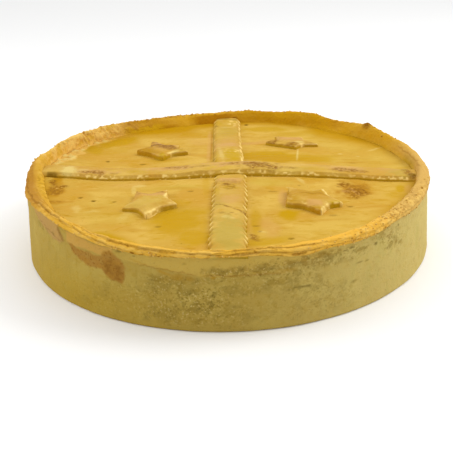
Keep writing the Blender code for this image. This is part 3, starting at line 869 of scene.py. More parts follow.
LID_MARKS = {
    "pools": (
        (32, 108, 26, 8, -3, 0.7), (32, 25, 30, 15, -4, 1), (62, 22, 24, 9, -5, 0.8),
        (-106, 66, 8, 16, 32, 0.7), (-88, 80, 22, 9, 42, 0.75), (-52, 110, 26, 6, 18, 0.5),
        (-66, -111, 17, 5.5, -33, 1), (-33, -84, 18, 23, 0, 0.75), (-20, -108, 10, 12, 0, 0.7),
        (-24, -74, 14, 9, 0, 0.7), (-14, -32, 2.5, 20, 0, 0.35), (-36, -58, 12, 5, 0, 0.5),
        (37, -81, 6.5, 8, -10, 0.95), (110, -54, 8, 7, 0, 0.5), (52, 92, 14, 7, -5, 0.5),
        (22, -118, 18, 5, 5, 0.7), (114.5, -41, 3, 8, -10, 1), (-24, -116, 8, 6, 0, 0.5),
        (17, -90, 3.5, 26, 0, 0.6), (-118, -6, 4, 14, 0, 0.6), (-15, -92, 3, 24, 0, 0.5),
        (-45, 31, 16, 5, 0, 0.45), (-20, 96, 14, 7, 0, 0.4), (72, 94, 16, 6, -25, 0.5),
        (-88, 60, 12, 8, 30, 0.25),
    ),
    "tan": (
        (-118, -14, 5, 9, 0, 1), (-117, -29, 6, 9, 0, 1), (-112, -48, 9, 3.5, 0, 0.7),
        (-119, -8, 4, 6, 0, 0.9), (83, -41, 12, 15, 0, 1), (-53, -97, 8, 2, -10, 0.35),
        (95, 14, 14, 1.6, 5, 0.6), (88, 20, 8, 1.5, -8, 0.5), (30, 62, 11, 2, 8, 0.4),
        (-82, -60, 9, 2, 5, 0.4), (-34, -34, 9, 2, 0, 0.35), (70, -58, 12, 1.6, 0, 0.35),
        (62, -90, 12, 1.4, 4, 0.35), (88, -72, 10, 1.4, 8, 0.35), (22, -46, 6, 8, 0, 0.35),
        # (-11.6, 58) is a painted shadow line on the lid along the along ribbon's left side
        (-11.6, 58, 0.9, 46, 0, 0.9), (30, 21, 22, 10, -4, 0.3),
    ),
    "browned": (
        (79, -34, 6, 7, -30, 1), (86, -45, 5, 9, 20, 1), (83, -53, 4, 6, 0, 0.8),
        (83, -44, 8, 10, 0, 0.75), (74, -38, 2, 2, 0, 0.7), (92, -40, 3, 6, 0, 0.5),
        (-116, -22.5, 7, 2.4, 8, 1), (-119, -19, 3, 5, 0, 0.9), (-118, -30, 6, 5.5, 0, 0.8),
        (-112, -47, 7, 1.4, 0, 0.5), (15, -112, 2.6, 5, 20, 0.8), (19, -104, 2, 2, 0, 0.6),
        (-121, -14, 3, 5, 0, 1),
    ),
    "pink": (
        (83, -45, 7, 1.5, -70, 1), (78, -46, 3, 3, 0, 0.7), (36, -57, 3, 12, 0, 0.7),
        (18, 66, 14, 4, 5, 0.7), (32, 73, 9, 2, 12, 0.6), (-18, 75, 14, 10, 0, 0.4),
        (-70, -20, 14, 5, 0, 0.3), (24, -98, 6, 14, 0, 0.45), (119.5, -42, 2.2, 9, -15, 0.4),
        (-13.3, 58, 1.7, 46, 0, 0.6), (-62, 62, 10, 2, 0, 0.4),
    ),
    "sallow": (
        (0, 5, 34, 12, 0, 0.5), (92, 62, 16, 16, 0, 0.4), (-74, -68, 22, 24, 0, 0.4),
        (28, -30, 14, 7, 0, 0.7), (-40, -32, 20, 5, 0, 0.6), (60, -100, 34, 10, 25, 0.3),
    ),
    "pale": (
        (-63, -31, 1.6, 9, 8, 0.5), (-60, -24, 5, 2.5, 0, 0.5), (-64, -74, 3, 10, -20, 0.3),
        (50, -27, 2, 6, 20, 0.5), (86, 34, 1.6, 1.3, 0, 0.8), (53.3, 31, 0.7, 15, -7, 0.9),
        (98, 28, 1.2, 1, 0, 0.6), (-97, -60, 3, 7, 20, 0.45), (-86, -66, 6, 1.6, 0, 0.4),
        (40, -40, 1.2, 1, 0, 0.6), (113, 44, 7, 1.4, 30, 0.5), (20, -105, 3, 1.2, -20, 0.6),
    ),
    # painted shade in the lid's pits
    "pits": (
        (-97.5, -41, 1.7, 1.4, 0, 0.9), (-88, -47, 1.7, 1.7, 0, 1), (-74, -50, 1.6, 1.2, 0, 0.8),
        (-89, 33, 1.6, 1.7, 0, 0.9), (-62, 24, 2.6, 1.5, 0, 0.7), (18, 123, 1.5, 2, 0, 1),
        (-42, -93, 2.1, 1, 0, 0.6), (-24, -40, 2.2, 1.2, 0, 0.6), (36, -115, 2, 1, 0, 0.8),
        (30, -46, 3.2, 0.9, 0, 0.5), (77, -71, 2, 1.2, 0, 0.7), (17, -96, 2.4, 1, 0, 0.5),
        (-100, 12, 1.5, 1.2, 0, 0.6), (64, -84, 2.6, 1, 0, 0.4), (92, 12, 2.2, 0.9, 0, 0.4),
        (48, -36, 1, 1, 0, 0.4),
    ),
}  # fmt: skip
# Folds in the lid: from x, y, to x, y, height.
LID_CREASES = (
    (112, 60, 118, 34, 0.45), (-34, 60, -20, 54, 0.35), (-30, 42, -22, 22, 0.3),
    (88, 18, 104, 22, 0.35), (66, -26, 92, -22, 0.25), (-90, -52, -84, -72, 0.35),
    (17, 58, 48, 68, 0.45), (-20, 62, -45, 70, 0.25), (30, -60, 16, -56, 0.2),
    (100, 0, 112, -22, 0.35),
)  # fmt: skip
PALE_RISE, PIT_DEPTH, POOL_DEPTH, BLISTER_HEIGHT = 0.00035, 0.00045, 0.00020, 0.00045
EDGE_RISE, EDGE_REACH = 0.0006, 0.0018  # how the lid climbs to the rim at its very edge
CRUST_HEIGHT, CRUST_CELLS = 0.0006, 0.0009  # the rough crust at the back left edge


def lid_mesh(settings):
    around = np.arange(settings.around) * 360.0 / settings.around
    near = partial(stretch, around)
    turn = np.radians(around)
    edge = along_rim(around, *FOOT_RADIUS) + LAYER_STEP
    radius = np.linspace(1, 0, settings.rings + 1)[:-1, None] * edge
    x, y = radius * np.cos(turn), radius * np.sin(turn)
    grid = places(x, y)
    x_mm, y_mm = x / MM, y / MM
    coarse, fine = 0.30 * rough(grid, 0.010, 41), 0.25 * noise(grid, 0.003, 45)
    ragged = {"browned": coarse + fine, "tan": coarse + fine, "pale": fine, "pits": fine}
    masks = {}
    for name, marks in LID_MARKS.items():
        masks[name] = cover(x_mm, y_mm, marks, ragged.get(name, coarse))
    masks["pools"] = np.minimum(1.15 * masks["pools"], 1)

    height = lid_height(x, y)
    height += 0.00022 * noise(grid, (0.030, 0.016, 1.0), 51)
    height += 0.00012 * noise(grid, (0.009, 0.0035, 1.0), 52)
    height += PALE_RISE * masks["pale"] - PIT_DEPTH * masks["pits"] - POOL_DEPTH * masks["pools"]
    height += BLISTER_HEIGHT * masks["browned"] * rough(grid, 0.003, 53)
    for start_x, start_y, end_x, end_y, lift in LID_CREASES:
        along, away = beside(x_mm, y_mm, (start_x, start_y), (end_x, end_y))
        inside = rise(along, -0.15, 0.2) * rise(along, 1.15, 0.8)
        height += lift * MM * inside * hump(away, -0.8 * np.sin(along * 7), 1.5)
    from_rim = edge - radius
    height += EDGE_RISE * np.exp(-from_rim / EDGE_REACH)
    crust_reach = 0.0030 + 0.0080 * near(159, 9) + 0.0030 * noise(grid, 0.006, 61)
    crust = near(155, 18, 6) * rise(crust_reach - from_rim, -0.0010, 0.0010)
    cells = noise(grid, 0.0045, 62) + 0.5 * noise(grid, 0.0023, 63)
    grid[..., 2] = height + crust * (CRUST_HEIGHT + CRUST_CELLS * cells)

    shaded = 0.30 - 0.12 * near(75, 75, 4) + 0.5 * near(338, 14, 4)
    reach = 0.0080 + 0.012 * near(116, 18, 4) + 0.008 * near(38, 16, 4)
    amber = 1.05 + 0.5 * near(117, 12, 4) + 0.3 * near(35, 10, 4)
    amber = (amber + 0.4 * noise(grid, 0.012, 47)) * near(72, 58, 6) * hump(from_rim, 0, reach)
    amber += 0.5 * near(336, 22, 4) * hump(from_rim, 0, 0.007)
    amber += 0.7 * near(186, 18, 4) * np.exp(-from_rim / 0.004)
    masks |= {
        # pale marks, and pale tops on the crust's lumps, painted lighter as highlight
        "pale": np.maximum(masks["pale"], crust * rise(cells, 0.05, 0.30)),
        "rim_shade": np.exp(-from_rim / 0.0020) * shaded * (1 - 0.9 * near(148, 24, 6)),
        "amber": np.clip(amber, 0, 1) * (1 - crust),
        "peach": crust,
        "sallow": np.maximum(masks["sallow"], 0.5 * rise(x_mm + 0.5 * y_mm, 60, 120)),
    }
    floor = places(edge * np.cos(turn), edge * np.sin(turn), RECESS_FLOOR)
    grid = np.concatenate([floor[None], grid])
    masks = {name: np.concatenate([values[:1], values]) for name, values in masks.items()}
    middle = (0, 0, float(lid_height(0, 0)))
    return skin("pie_lid_glazed", grid, masks, (0, 0, RECESS_FLOOR), middle)


def glazed_pastry(name, colour, pool_colour, streaks, turn=0.0):
    """Egg-glazed pastry: warm clouds, short brush strokes and pools in the golden glaze."""
    pastry = Pastry(name, colour)
    cloud = pastry.grain(0.024, (1.7, 1.0, 1.0), distortion=0.5, turn=turn)
    blotch = pastry.grain(0.0085, (1.8, 1.0, 1.0), distortion=0.9, turn=turn)
    brush = pastry.grain(0.0017, (5.0, 1.0, 1.0), distortion=1.3, turn=turn)
    sweep = pastry.grain(0.0040, (3.2, 1.0, 1.0), detail=2.0, distortion=1.2, turn=turn + 4)
    where = pastry.ranged(blotch, 0.42, 0.58)
    pastry.layers(
        ("", (0.655, 0.425, 0.085), 0.70, cloud, 0.44, 0.64),
        ("", (0.555, 0.295, 0.036), 0.60, cloud, 0.50, 0.36),
        ("", (0.515, 0.280, 0.014), streaks, blotch, 0.55, 0.70),
        ("", (0.510, 0.275, 0.014), 0.6 * streaks, sweep, 0.58, 0.72),
        ("", (0.690, 0.465, 0.105), 0.6 * streaks, sweep, 0.40, 0.28),
        ("", (0.450, 0.235, 0.010), pastry.times(where, 1.1 * streaks), brush, 0.56, 0.68),
        ("", (0.690, 0.460, 0.100), pastry.times(where, 0.9 * streaks), brush, 0.42, 0.30),
        ("pools", pool_colour, 0.90),
    )
    pastry.bump(blotch, depth=0.00050)
    pastry.bump(brush, depth=0.00012)
    return pastry


def spotted(pastry, least=0.30):
    """Pinkish, pale and browned places, and painted shade in the pits, notches and gaps, over the
    glaze. least is how much of the brown stays between its mottles."""
    mottle = pastry.grain(0.0020, detail=4.0, distortion=0.8)
    speck = pastry.grain(0.0012, detail=2.0)
    pastry.layers(
        ("pink", (0.600, 0.335, 0.100), 0.78),
        ("pale", (0.720, 0.560, 0.180), 0.75),
        ("browned", (0.265, 0.115, 0.010), 1.0, mottle, 0.40, 0.56, least, 1.0),
        ("browned", (0.720, 0.440, 0.130), 0.70, mottle, 0.36, 0.28),
        # painted shade in pits, notches and gaps
        ("pits", (0.190, 0.100, 0.004), 0.90),
        ("", (0.230, 0.135, 0.006), 0.60, speck, 0.69, 0.75),
    )
    pastry.bump(speck, depth=0.00010)


def lid_material(settings):
    colours = settings.lid_colour, settings.pool_colour
    pastry = glazed_pastry("glazed_lid_pastry", *colours, settings.streaks)
    pastry.layers(
        ("sallow", (0.550, 0.385, 0.055), 0.60),
        ("tan", (0.455, 0.210, 0.010), 0.80),
        ("amber", (0.470, 0.240, 0.001), 0.90),
        ("peach", (0.720, 0.440, 0.100), 0.85),
    )
    spotted(pastry)
    pastry.layers(("rim_shade", (0.360, 0.180, 0.004), 0.70))
    return pastry.finish(pastry.ranged(pastry.mask("pools"), 0.0, 0.8, 0.50, 0.32), shine=0.008)


class PIE_OT_make_lid(bpy.types.Operator):
    """Make the glazed lid with its pools, pits and brush streaks"""

    bl_idname = "pie.make_lid"
    bl_label = "Make Lid"

    def execute(self, context):
        settings = context.scene.pie_lid
        mesh = lid_mesh(settings)
        piece("glazed_lid", mesh, lid_material(settings), "glazed_lid", "pie_lid")
        return {"FINISHED"}


# ---------------------------------------------------------------- the ribbons


class PieRibbonSettings(bpy.types.PropertyGroup):
    ribbon_colour: ColourProperty(
        name="Ribbon Colour",
        description="Colour of the glazed ribbons",
        default=(0.555, 0.332, 0.052),
    )
    along_pitch: LengthProperty(
        name="Along Pitch",
        description="Distance between the beads on the ribbon from front to back",
        default=0.0069,
    )
    across_pitch: LengthProperty(
        name="Across Pitch",
        description="Distance between the beads on the ribbon from left to right",
        default=0.0040,
    )
    bead_depth: LengthProperty(
        name="Bead Depth", description="Depth of the notches between the beads", default=0.0010
    )
    bead_slant: FloatProperty(
        name="Bead Slant",
        description="How far each notch runs along the ribbon for its length across it",
        default=1.1,
    )


ALONG_MARKS = {
    "browned": (
        (1, -36, 9, 3, -15, 0.35), (-1.4, -41.5, 3, 2.6, 0, 0.95), (2, -45, 4, 4, -20, 0.55),
        (-5, -71.5, 4.5, 0.9, -25, 0.7), (1, -75.8, 4.5, 1.1, -35, 0.8),
        (5.5, -80, 3.5, 1, -35, 0.75), (10.2, -83.5, 2, 1.8, 0, 1), (-4, -84, 1.6, 1.4, 0, 0.55),
        (-0.5, -86.5, 1.4, 1.2, 0, 0.5), (2.5, -84.5, 1.4, 1.2, 0, 0.5),
        (5, -87, 1.2, 1.2, 0, 0.45),
    ),
    # painted shade: a shadow line along the ribbon's left side and the dark gap at its back end by
    # the rim
    "pits": (
        (-9.7, 16, 1.3, 14, 0, 0.75), (-10.6, 45, 1.4, 30, 0, 0.8), (-10.8, 85, 1.4, 26, 0, 0.8),
        (-9, 112, 1.4, 6, 30, 0.6), (-3, 129, 7, 2, 0, 0.6), (8, 127, 3, 2, 0, 0.5),
    ),
    # painted highlights: bright flecks along the right edge and at the crossing
    "crusty": (
        (11.7, 88, 1.1, 52, 0, 0.85), (11.4, 38, 1.2, 42, 0, 0.9), (7, 116, 5, 9, 0, 0.5),
        (3, 33, 5, 4, 25, 0.55), (8, 30, 4, 2, 60, 0.6),
    ),
    "pink": (
        (0.7, -31.5, 9, 6, -8, 1), (1.5, 50, 10, 6, 0, 1), (1, 62, 7, 12, 0, 0.4),
        (1, -64, 8, 6, 0, 0.7), (-9, 50, 1.5, 14, 0, 0.6),
    ),
    "pale": (
        (-3.5, 24, 1.6, 14, 5, 0.5), (2, 104, 6, 2, 0, 0.3), (-2, -90, 2, 2, 0, 0.5),
        (3, -92, 2, 2, 0, 0.5),
    ),
    "pools": (
        (4, 24, 7, 15, 0, 1), (-8, 20, 3, 14, 0, 0.5), (0, 92, 10, 40, 0, 0.45),
        (-6, 116, 5, 12, 0, 0.7), (2, 92, 4, 12, 0, 0.5), (2, -45, 5, 4, 0, 0.5),
        (-7, -50, 2, 6, 0, 0.5),
    ),
    "sallow": ((-1, -112, 10, 24, 0, 1), (-6, -68, 5, 10, 0, 0.6), (2, 92, 9, 14, 0, 0.4)),
}  # fmt: skip
ACROSS_MARKS = {
    "browned": (
        (-93, -4, 10, 3.5, -5, 0.85), (-80, -6, 5, 2, -5, 0.45), (-36, -1, 10, 4, -5, 0.8),
        (-20, -6, 10, 2.5, 0, 0.5), (6, -5, 11, 2.6, 4, 0.65), (24, -10, 15, 6.5, -5, 1),
        (38, -11, 9, 2.6, -6, 0.55), (82, -16, 9, 4, -6, 0.8), (93, -18, 5, 2.5, -6, 0.6),
        # (126, -25) is painted shade in the gap where the ribbon's right end meets the rim
        (-112, -9, 8, 1.5, -4, 0.7), (124, -19, 4, 7, 0, 0.8), (126, -25, 3.5, 4, 0, 1),
    ),
    # painted shade: the shaded side of the left end by the rim and the gap at the right end
    "pits": ((-124, -8, 4.5, 4, 0, 1), (-122, -7.5, 4, 2.4, -5, 1), (125, -25, 3, 3, 0, 0.8)),
    "pink": (
        (-93, -3, 16, 5, -5, 0.8), (-40, -2, 16, 5, -5, 0.9), (4, -3, 18, 5, -5, 0.8),
        (-2, -8, 9, 1.8, 40, 0.9), (82, -13, 12, 5, -6, 0.8), (112, -12, 8, 6, 0, 0.4),
    ),
    "pale": ((-111, -1, 6, 7, 0, 1), (-102, 0, 5, 3, 0, 0.4)),
    "pools": ((-62, -4, 10, 3, -5, 0.5), (60, -14, 12, 3, -5, 0.4), (-4, -12, 10, 3, 0, 0.5)),
    "sallow": ((118, -18, 8, 10, 0, 0.8), (44, -16, 14, 5, 0, 0.4)),
}  # fmt: skip
RIBBON_STEP = 0.42 * MM
RIBBON_CROWN = 0.0005
SHOULDER, SHOULDER_DROP = 0.82, 0.45  # where a ribbon's rounded edge starts, and its fall
SIDE_LIFT = 0.55  # share of a ribbon's thickness up to which its side is upright
RIBBON_FLARE = 0.022
DRAPE_FLAT, DRAPE_RAMP = 0.0072, 0.0022
SECOND_ROW = -0.010, 0.050  # where the lower beads are thickest, and how far they reach
ALONG_TUCKED, ACROSS_TUCKED = 0.0035, 0.0012  # how far their ends run in under the rim
SUNK = 0.0005  # how far a ribbon or a star has sunk into the lid

# The beads along a ribbon's edges: their pitch, how far in they lie, their width and their reach,
# how sharp they are, how far the ribbon is plain at its start, how loosely they lie, how far up
# they start, and for the right and the left edge their depth, slant and the brightness of their
# painted highlights.
Beads = namedtuple("Beads", "pitch place width reach sharp plain loose lowest edges")


def on_line(line, station, across):
    """The place that far along a ribbon's line and beside it."""
    centre, angle, (bow, bow_place, bow_spread) = line
    sideways = across + bow * hump(station, bow_place, bow_spread)
    x = centre[0] + station * math.cos(angle) - sideways * math.sin(angle)
    y = centre[1] + station * math.sin(angle) + sideways * math.cos(angle)
    return x, y


def off_line(line, x, y):
    """How far a place is from a ribbon's line, without its bow."""
    centre, angle, _ = line
    return (x - centre[0]) * math.sin(angle) - (y - centre[1]) * math.cos(angle)


def ribbon_reach(line, towards, tucked):
    """How far the ribbon runs from its middle before its middle line meets the rim."""
    stations = towards * np.arange(0, RIM_RADIUS, 0.0002)
    x, y = on_line(line, stations, 0.0)
    foot = along_rim(np.degrees(np.arctan2(y, x)), *FOOT_RADIUS)
    return stations[np.argmax(np.hypot(x, y) > foot)] + towards * tucked


def along_top(x, y):
    """The lower ribbon's underside and top above the lid."""
    pressed = PRESSED * plateau(off_line(ACROSS_LINE, x, y), PRESSED_FLAT, PRESSED_RAMP)
    pressed = pressed + END_PRESSED * plateau(y + END_REACH, 0.0, END_RAMP)
    return np.zeros_like(x), GAP + RIBBON_THICKNESS - pressed


def across_top(x, y):
    """The upper ribbon's underside and top above the lid. Its edges hang down beside the lower
    one."""
    lift = RIBBON_THICKNESS - PRESSED + GAP
    away = off_line(ALONG_LINE, x, y)
    top = GAP + lift * plateau(away, BRIDGE_FLAT, BRIDGE_RAMP) + RIBBON_THICKNESS
    return lift * plateau(away, DRAPE_FLAT, DRAPE_RAMP), top


def bead_relief(beads, station, across, lift, half, seed):
    """How deeply each place is notched and scalloped, and how strongly it carries a bead's painted
    highlight.
    """
    notch = scallop = bead_highlight = np.zeros((station.size, across.size))
    begun = rise(station - station[0], beads.plain, beads.plain + 0.010)
    for edge_side, (depth, slant, bright) in zip((-1, 1), beads.edges):
        from_edge = (1 - edge_side * across) * half
        sway = 0.0014 * noise(places(station, edge_side), 0.009, seed + 3)
        phase = (station + slant * from_edge * edge_side + sway) / beads.pitch
        scattered = noise(places(station, from_edge, edge_side), (0.0015, 0.0010, 1), seed + 4)
        bead = ripple(phase)
        bead = bead + beads.loose * (rise(scattered, -0.05, 0.50) - bead)
        strength = 0.70 + 1.2 * noise(places(phase, 7.5 * edge_side), 0.8, seed + 9)
        strength = np.clip(strength, 0.05, 1.3) * begun
        fade = np.exp(-((np.maximum(from_edge, 0) / beads.reach) ** 2.6))
        ridge = hump(from_edge, beads.place, beads.width) * strength
        notch = notch + depth * (0.9 * (1 - bead) ** 1.6 * fade - 0.5 * bead**1.5 * ridge)
        up = rise(lift, beads.lowest - 0.15, beads.lowest)
        bead_highlight = np.maximum(bead_highlight, bright * bead**beads.sharp * ridge * up)
        at_edge = rise(edge_side * across, 0.80, 1.0)
        # painted highlights: a second, lower row of bright spots
        foot = hump(lift, 0.22, 0.14) * at_edge * hump(station, *SECOND_ROW)
        second = ripple(phase + 0.4) ** 6 * np.clip(2 * strength - 1.1, 0, 1) * foot
        bead_highlight = np.maximum(bead_highlight, bright * second)
        cut = depth * (0.9 * (1 - bead) - 0.35 * second) * at_edge
        scallop = scallop + (1 - 0.8 * beads.loose) * cut
    return notch, scallop, bead_highlight


def ribbon_mesh(name, line, width, tucked, surfaces, beads, marks, seed):
    """A ribbon on the lid. surfaces gives its underside and its top above the lid."""
    start, end = ribbon_reach(line, -1, tucked), ribbon_reach(line, 1, tucked)
    station = np.linspace(start, end, int((end - start) / RIBBON_STEP))[:, None]

    half_top = np.linspace(0, 1, 24) ** 0.62
    top = np.unique(np.concatenate([-half_top, half_top]))
    side = np.linspace(0, 1, 7)[:-1]
    shoulder = 1 - SHOULDER_DROP * np.maximum(np.abs(top) - SHOULDER, 0) / (1 - SHOULDER)
    across = np.concatenate([np.full(side.size, -1.0), top, np.full(side.size, 1.0)])[None, :]
    lift = np.concatenate([SIDE_LIFT * side, shoulder, SIDE_LIFT * side[::-1]])[None, :]

    half = width / 2 + 0.0005 * noise(places(station, 0), 0.009, seed)
    notch, scallop, bead_highlight = bead_relief(beads, station, across, lift, half, seed)
    reach = across * (half - scallop) * (1 + RIBBON_FLARE * (1 - lift))
    x, y = on_line(line, station, reach)
    flat = places(x, y)
    masks = marked(x, y, marks, 0.35 * rough(flat, 0.004, seed + 7))
    masks["browned"] *= 1 - 0.7 * rise(lift, 0.80, 0.50)
    # painted highlight flecks
    flecks = rise(noise(flat, (0.0014, 0.0027, 1), seed + 10), -0.25, 0.45)
    bead_highlight = np.maximum(bead_highlight, masks.pop("crusty") * flecks)

    under, over = surfaces(x, y)
    thick = over + RIBBON_CROWN * (1 - across**2 - np.abs(across) ** 8) - notch
    thick += 0.00030 * noise(flat, (0.014, 0.014, 1), seed + 5)
    thick += 0.00010 * noise(flat, 0.0028, seed + 6)
    thick += 0.0006 * masks["browned"] * (0.3 + noise(flat, 0.0020, seed + 8))
    z = lid_height(x, y) + under - SUNK + (thick + SUNK - under) * lift

    # side carries painted shade on the ribbon's sides, foot a painted shadow line where it meets
    # the lid, and the notches' depth adds painted shade in them
    side = rise(lift, 0.70, 0.50) * (1 - 0.6 * masks["browned"]) * (1 - 0.8 * masks["pits"])
    masks |= {
        "pits": np.maximum(0.32 * np.clip(notch / MM, 0, 1), masks["pits"]),
        "side": side,
        "foot": side * rise(lift, 0.26, 0.0),
        "bead": np.clip(1.1 * bead_highlight, 0, 1),
    }
    return skin(name + "_glazed", places(x, y, z), masks)


def edge_layers(pastry, highlight_share):
    """The sides of a ribbon or a star, partly their own unglazed tone and partly painted shade, the
    painted shadow line where it meets the lid and its painted highlights on the beads.
    Gives the finished material."""
    pastry.layers(
        # the sides' own unglazed tone, with painted shade
        ("side", (0.490, 0.303, 0.005), 0.80),
        # painted shadow line where the piece meets the lid
        ("foot", (0.250, 0.150, 0.004), 0.64),
        ("tan", (0.470, 0.238, 0.008), 0.80),
        # painted highlights on the beads and flecks
        ("bead", (0.900, 0.665, 0.215), highlight_share),
    )
    return pastry.finish(pastry.ranged(pastry.mask("side"), 0.0, 1.0, 0.42, 0.62), shine=0.03)


def ribbon_material(name, settings, turn):
    pastry = glazed_pastry(name, settings.ribbon_colour, (0.520, 0.315, 0.004), 0.40, turn)
    pastry.layers(("sallow", (0.460, 0.328, 0.052), 0.75))
    spotted(pastry)
    return edge_layers(pastry, 0.85)


class PIE_OT_make_ribbons(bpy.types.Operator):
    """Make the two fluted ribbons that cross on the lid"""

    bl_idname = "pie.make_ribbons"
    bl_label = "Make Ribbons"

    def execute(self, context):
        settings = context.scene.pie_ribbons
        deep, slant = settings.bead_depth, settings.bead_slant
        along_beads = Beads(
            settings.along_pitch, 0.8 * MM, 0.9 * MM, 2.4 * MM, sharp=4, plain=-1, loose=0,
            lowest=0, edges=((1.1 * deep, slant, 1.7), (deep, -0.3, 0.9)),
        )  # fmt: skip
        across_beads = Beads(
            settings.across_pitch, 0.7 * MM, 0.8 * MM, 1.3 * MM, sharp=2, plain=0.012, loose=0.75,
            lowest=0.55, edges=((0.3 * deep, 0.3, 1.35), (0.2 * deep, 0, 0.3)),
        )  # fmt: skip
        for node, turn, *ribbon in (
            ("ribbon_along", 90, ALONG_LINE, ALONG_WIDTH, ALONG_TUCKED, along_top, along_beads,
             ALONG_MARKS, 61),
            ("ribbon_across", 0, ACROSS_LINE, ACROSS_WIDTH, ACROSS_TUCKED, across_top, across_beads,
             ACROSS_MARKS, 81),
        ):  # fmt: skip
            material = ribbon_material(f"glazed_{node}_pastry", settings, turn)
            piece("glazed_" + node, ribbon_mesh(node, *ribbon), material, "glazed_ribbon", node)
        return {"FINISHED"}


# ---------------------------------------------------------------- the stars


class PieStarSettings(bpy.types.PropertyGroup):
    star_colour: ColourProperty(
        name="Star Colour", description="Colour of the glazed stars", default=(0.560, 0.330, 0.055)
    )
    wrinkles: LengthProperty(
        name="Wrinkles", description="Height of the wrinkles on the stars", default=0.0004
    )


# Marks on each star, from its middle. Its bright flecks are painted highlights.
STAR_MARKS = {
    "star_front_left": {
        "browned": (
            (1, 12.5, 11, 1.6, -4, 0.75), (-10.5, 17.5, 2.5, 2.5, 0, 0.8),
            # (-15, 2) is painted shade along the left edge, away from the light
            (-15, 2, 1.2, 6, -30, 0.6),
        ),
        "pink": ((2, 10, 11, 3.5, -6, 1), (-9, 14, 3, 3, 0, 0.6), (6, -16, 3, 6, -38, 0.5)),
        "pale": ((12, 12, 1.6, 6, -20, 0.9),),
        "pools": ((4, -2, 7, 4, 0, 0.35), (8, 6, 3, 3, 0, 0.5)),
        "sallow": ((-4, -3, 14, 8, 0, 1), (6, 3, 8, 5, 0, 0.6)),
        "crusty": (
            (11, 10, 1.8, 8, -18, 1), (4, -15, 2.6, 8, -38, 1), (15, -4, 4, 2, 0, 0.8),
            (-12, -3, 4, 0.8, 0, 0.3),
        ),
    },
    "star_front_right": {
        # (-14, 3) is painted shade along the left edge, away from the light
        "browned": ((-2, 4, 8, 1.2, -12, 0.8), (6, 4, 4, 1.4, -20, 0.8), (-14, 3, 1.3, 7, 0, 0.6)),
        "pink": ((-8, 8, 5, 4, 0, 0.4), (1, -9, 6, 3.5, -15, 1)),
        "pale": ((9, 11, 1.2, 5, 30, 0.9),),
        "pools": ((0, 7, 9, 4, -8, 0.6), (14, -8, 5, 3, 0, 1), (-11, -2, 4, 5, 0, 0.3)),
        "crusty": (
            (6.3, -14.2, 1.3, 6.5, -30, 1.5), (7, -9.5, 3, 2, -35, 1.2), (14, -4, 5, 1.6, 12, 0.9),
            (9, 7, 1.3, 6, 14, 1), (-11, -3, 5, 1.6, -35, 1), (-5, -7, 3, 1.8, -30, 1),
            (-9, -12, 4, 1, -30, 0.6), (18, -7, 1.5, 1.5, 0, 1),
        ),
        "tan": (
            (-7, 6, 10, 7, 0, 0.8), (4, 5, 10, 6, 0, 0.75), (-13, -1, 5, 5, 0, 0.8),
            (-9, -9, 6, 2, -30, 0.4), (1, -17, 7, 2.5, -30, 1), (6, -3, 8, 3, 0, 0.4),
            (3, -20, 4, 2, 0, 1),
        ),
    },
    "star_back_left": {
        "browned": (
            (2, 4, 13, 6, -34, 1), (-7, 9, 6, 4, 0, 1), (-12, -1, 6, 5, 0, 0.45),
            (-9, 17, 4, 3, 0, 0.6), (-16, 0, 4, 4, 0, 0.45), (-9, -8, 6, 3, -30, 0.4),
        ),
        "pink": ((2, 10, 14, 4, -28, 1), (-3, 0, 8, 3, 0, 0.4)),
        "pale": ((9, -8, 4, 2, 25, 0.9),),
        "pools": ((0, -15, 3, 3, 0, 0.8), (-13, -6, 5, 4, -20, 0.5), (14, -5, 5, 3, 0, 0.6)),
        "crusty": ((5, -9, 4.5, 2.2, 30, 1.2), (12, -4, 6, 1.2, 20, 0.8)),
        "tan": ((-13, 0, 8, 7, 0, 0.9), (-8, -7, 8, 4, -30, 0.7)),
    },
    "star_back_right": {
        "browned": (
            (-15, -2, 5, 3, 0, 0.9), (0, -10, 6, 4, 0, 0.9), (-8, 12, 5, 1.5, 0, 0.5),
            (15, -8, 5, 3, 0, 0.5),
        ),
        "pink": ((0, 5, 15, 7, 0, 1),),
        "pale": ((5, -5, 4, 2, 0, 0.8), (12, 2, 4, 1, 0, 0.5)),
        "pools": ((0, -12, 3, 3, 0, 0.6),),
        "crusty": ((6, -7, 4, 2.4, 0, 1.2), (-4, 13, 5, 1.2, 0, 0.4)),
        "tan": ((0, 0, 20, 16, 0, 0.12),),
    },
}  # fmt: skip
STAR_NOTCHES = {"star_front_right": (0.70, 0.66, 0.62, 0.80, 0.62)}  # where not as on the solid
STAR_LEAN = {"star_front_left": (0.028, 0.0)}  # rise for each metre to the right and to the back
STAR_STEPS = 22
STAR_RINGS = 22
STAR_UPRIGHT = 0.40  # share of a star's thickness up to which its side is upright
STAR_ROUNDING = 0.05  # share of its reach over which its top edge is rounded
STAR_FLARE = 0.03
STAR_SLOPE = 0.0011  # how much thinner a star is at its edge than inside


def star_outline(tips, notches):
    """x, y and how far beyond its notches each point of the outline reaches."""
    outline = []
    for number, (azimuth, reach) in enumerate(tips):
        next_azimuth, next_reach = tips[(number + 1) % len(tips)]
        apart = (next_azimuth - azimuth) % 360
        notch = notches[number] * (reach + next_reach) / 2
        for step in range(2 * STAR_STEPS):
            away = step / STAR_STEPS
            beyond = ((reach if away < 1 else next_reach) - notch) * (1 - away) ** 2
            turn = math.radians(azimuth + apart * away / 2)
            radius = (notch + beyond) * MM
            outline.append((radius * math.cos(turn), radius * math.sin(turn), beyond / notch))
    return np.array(outline).T


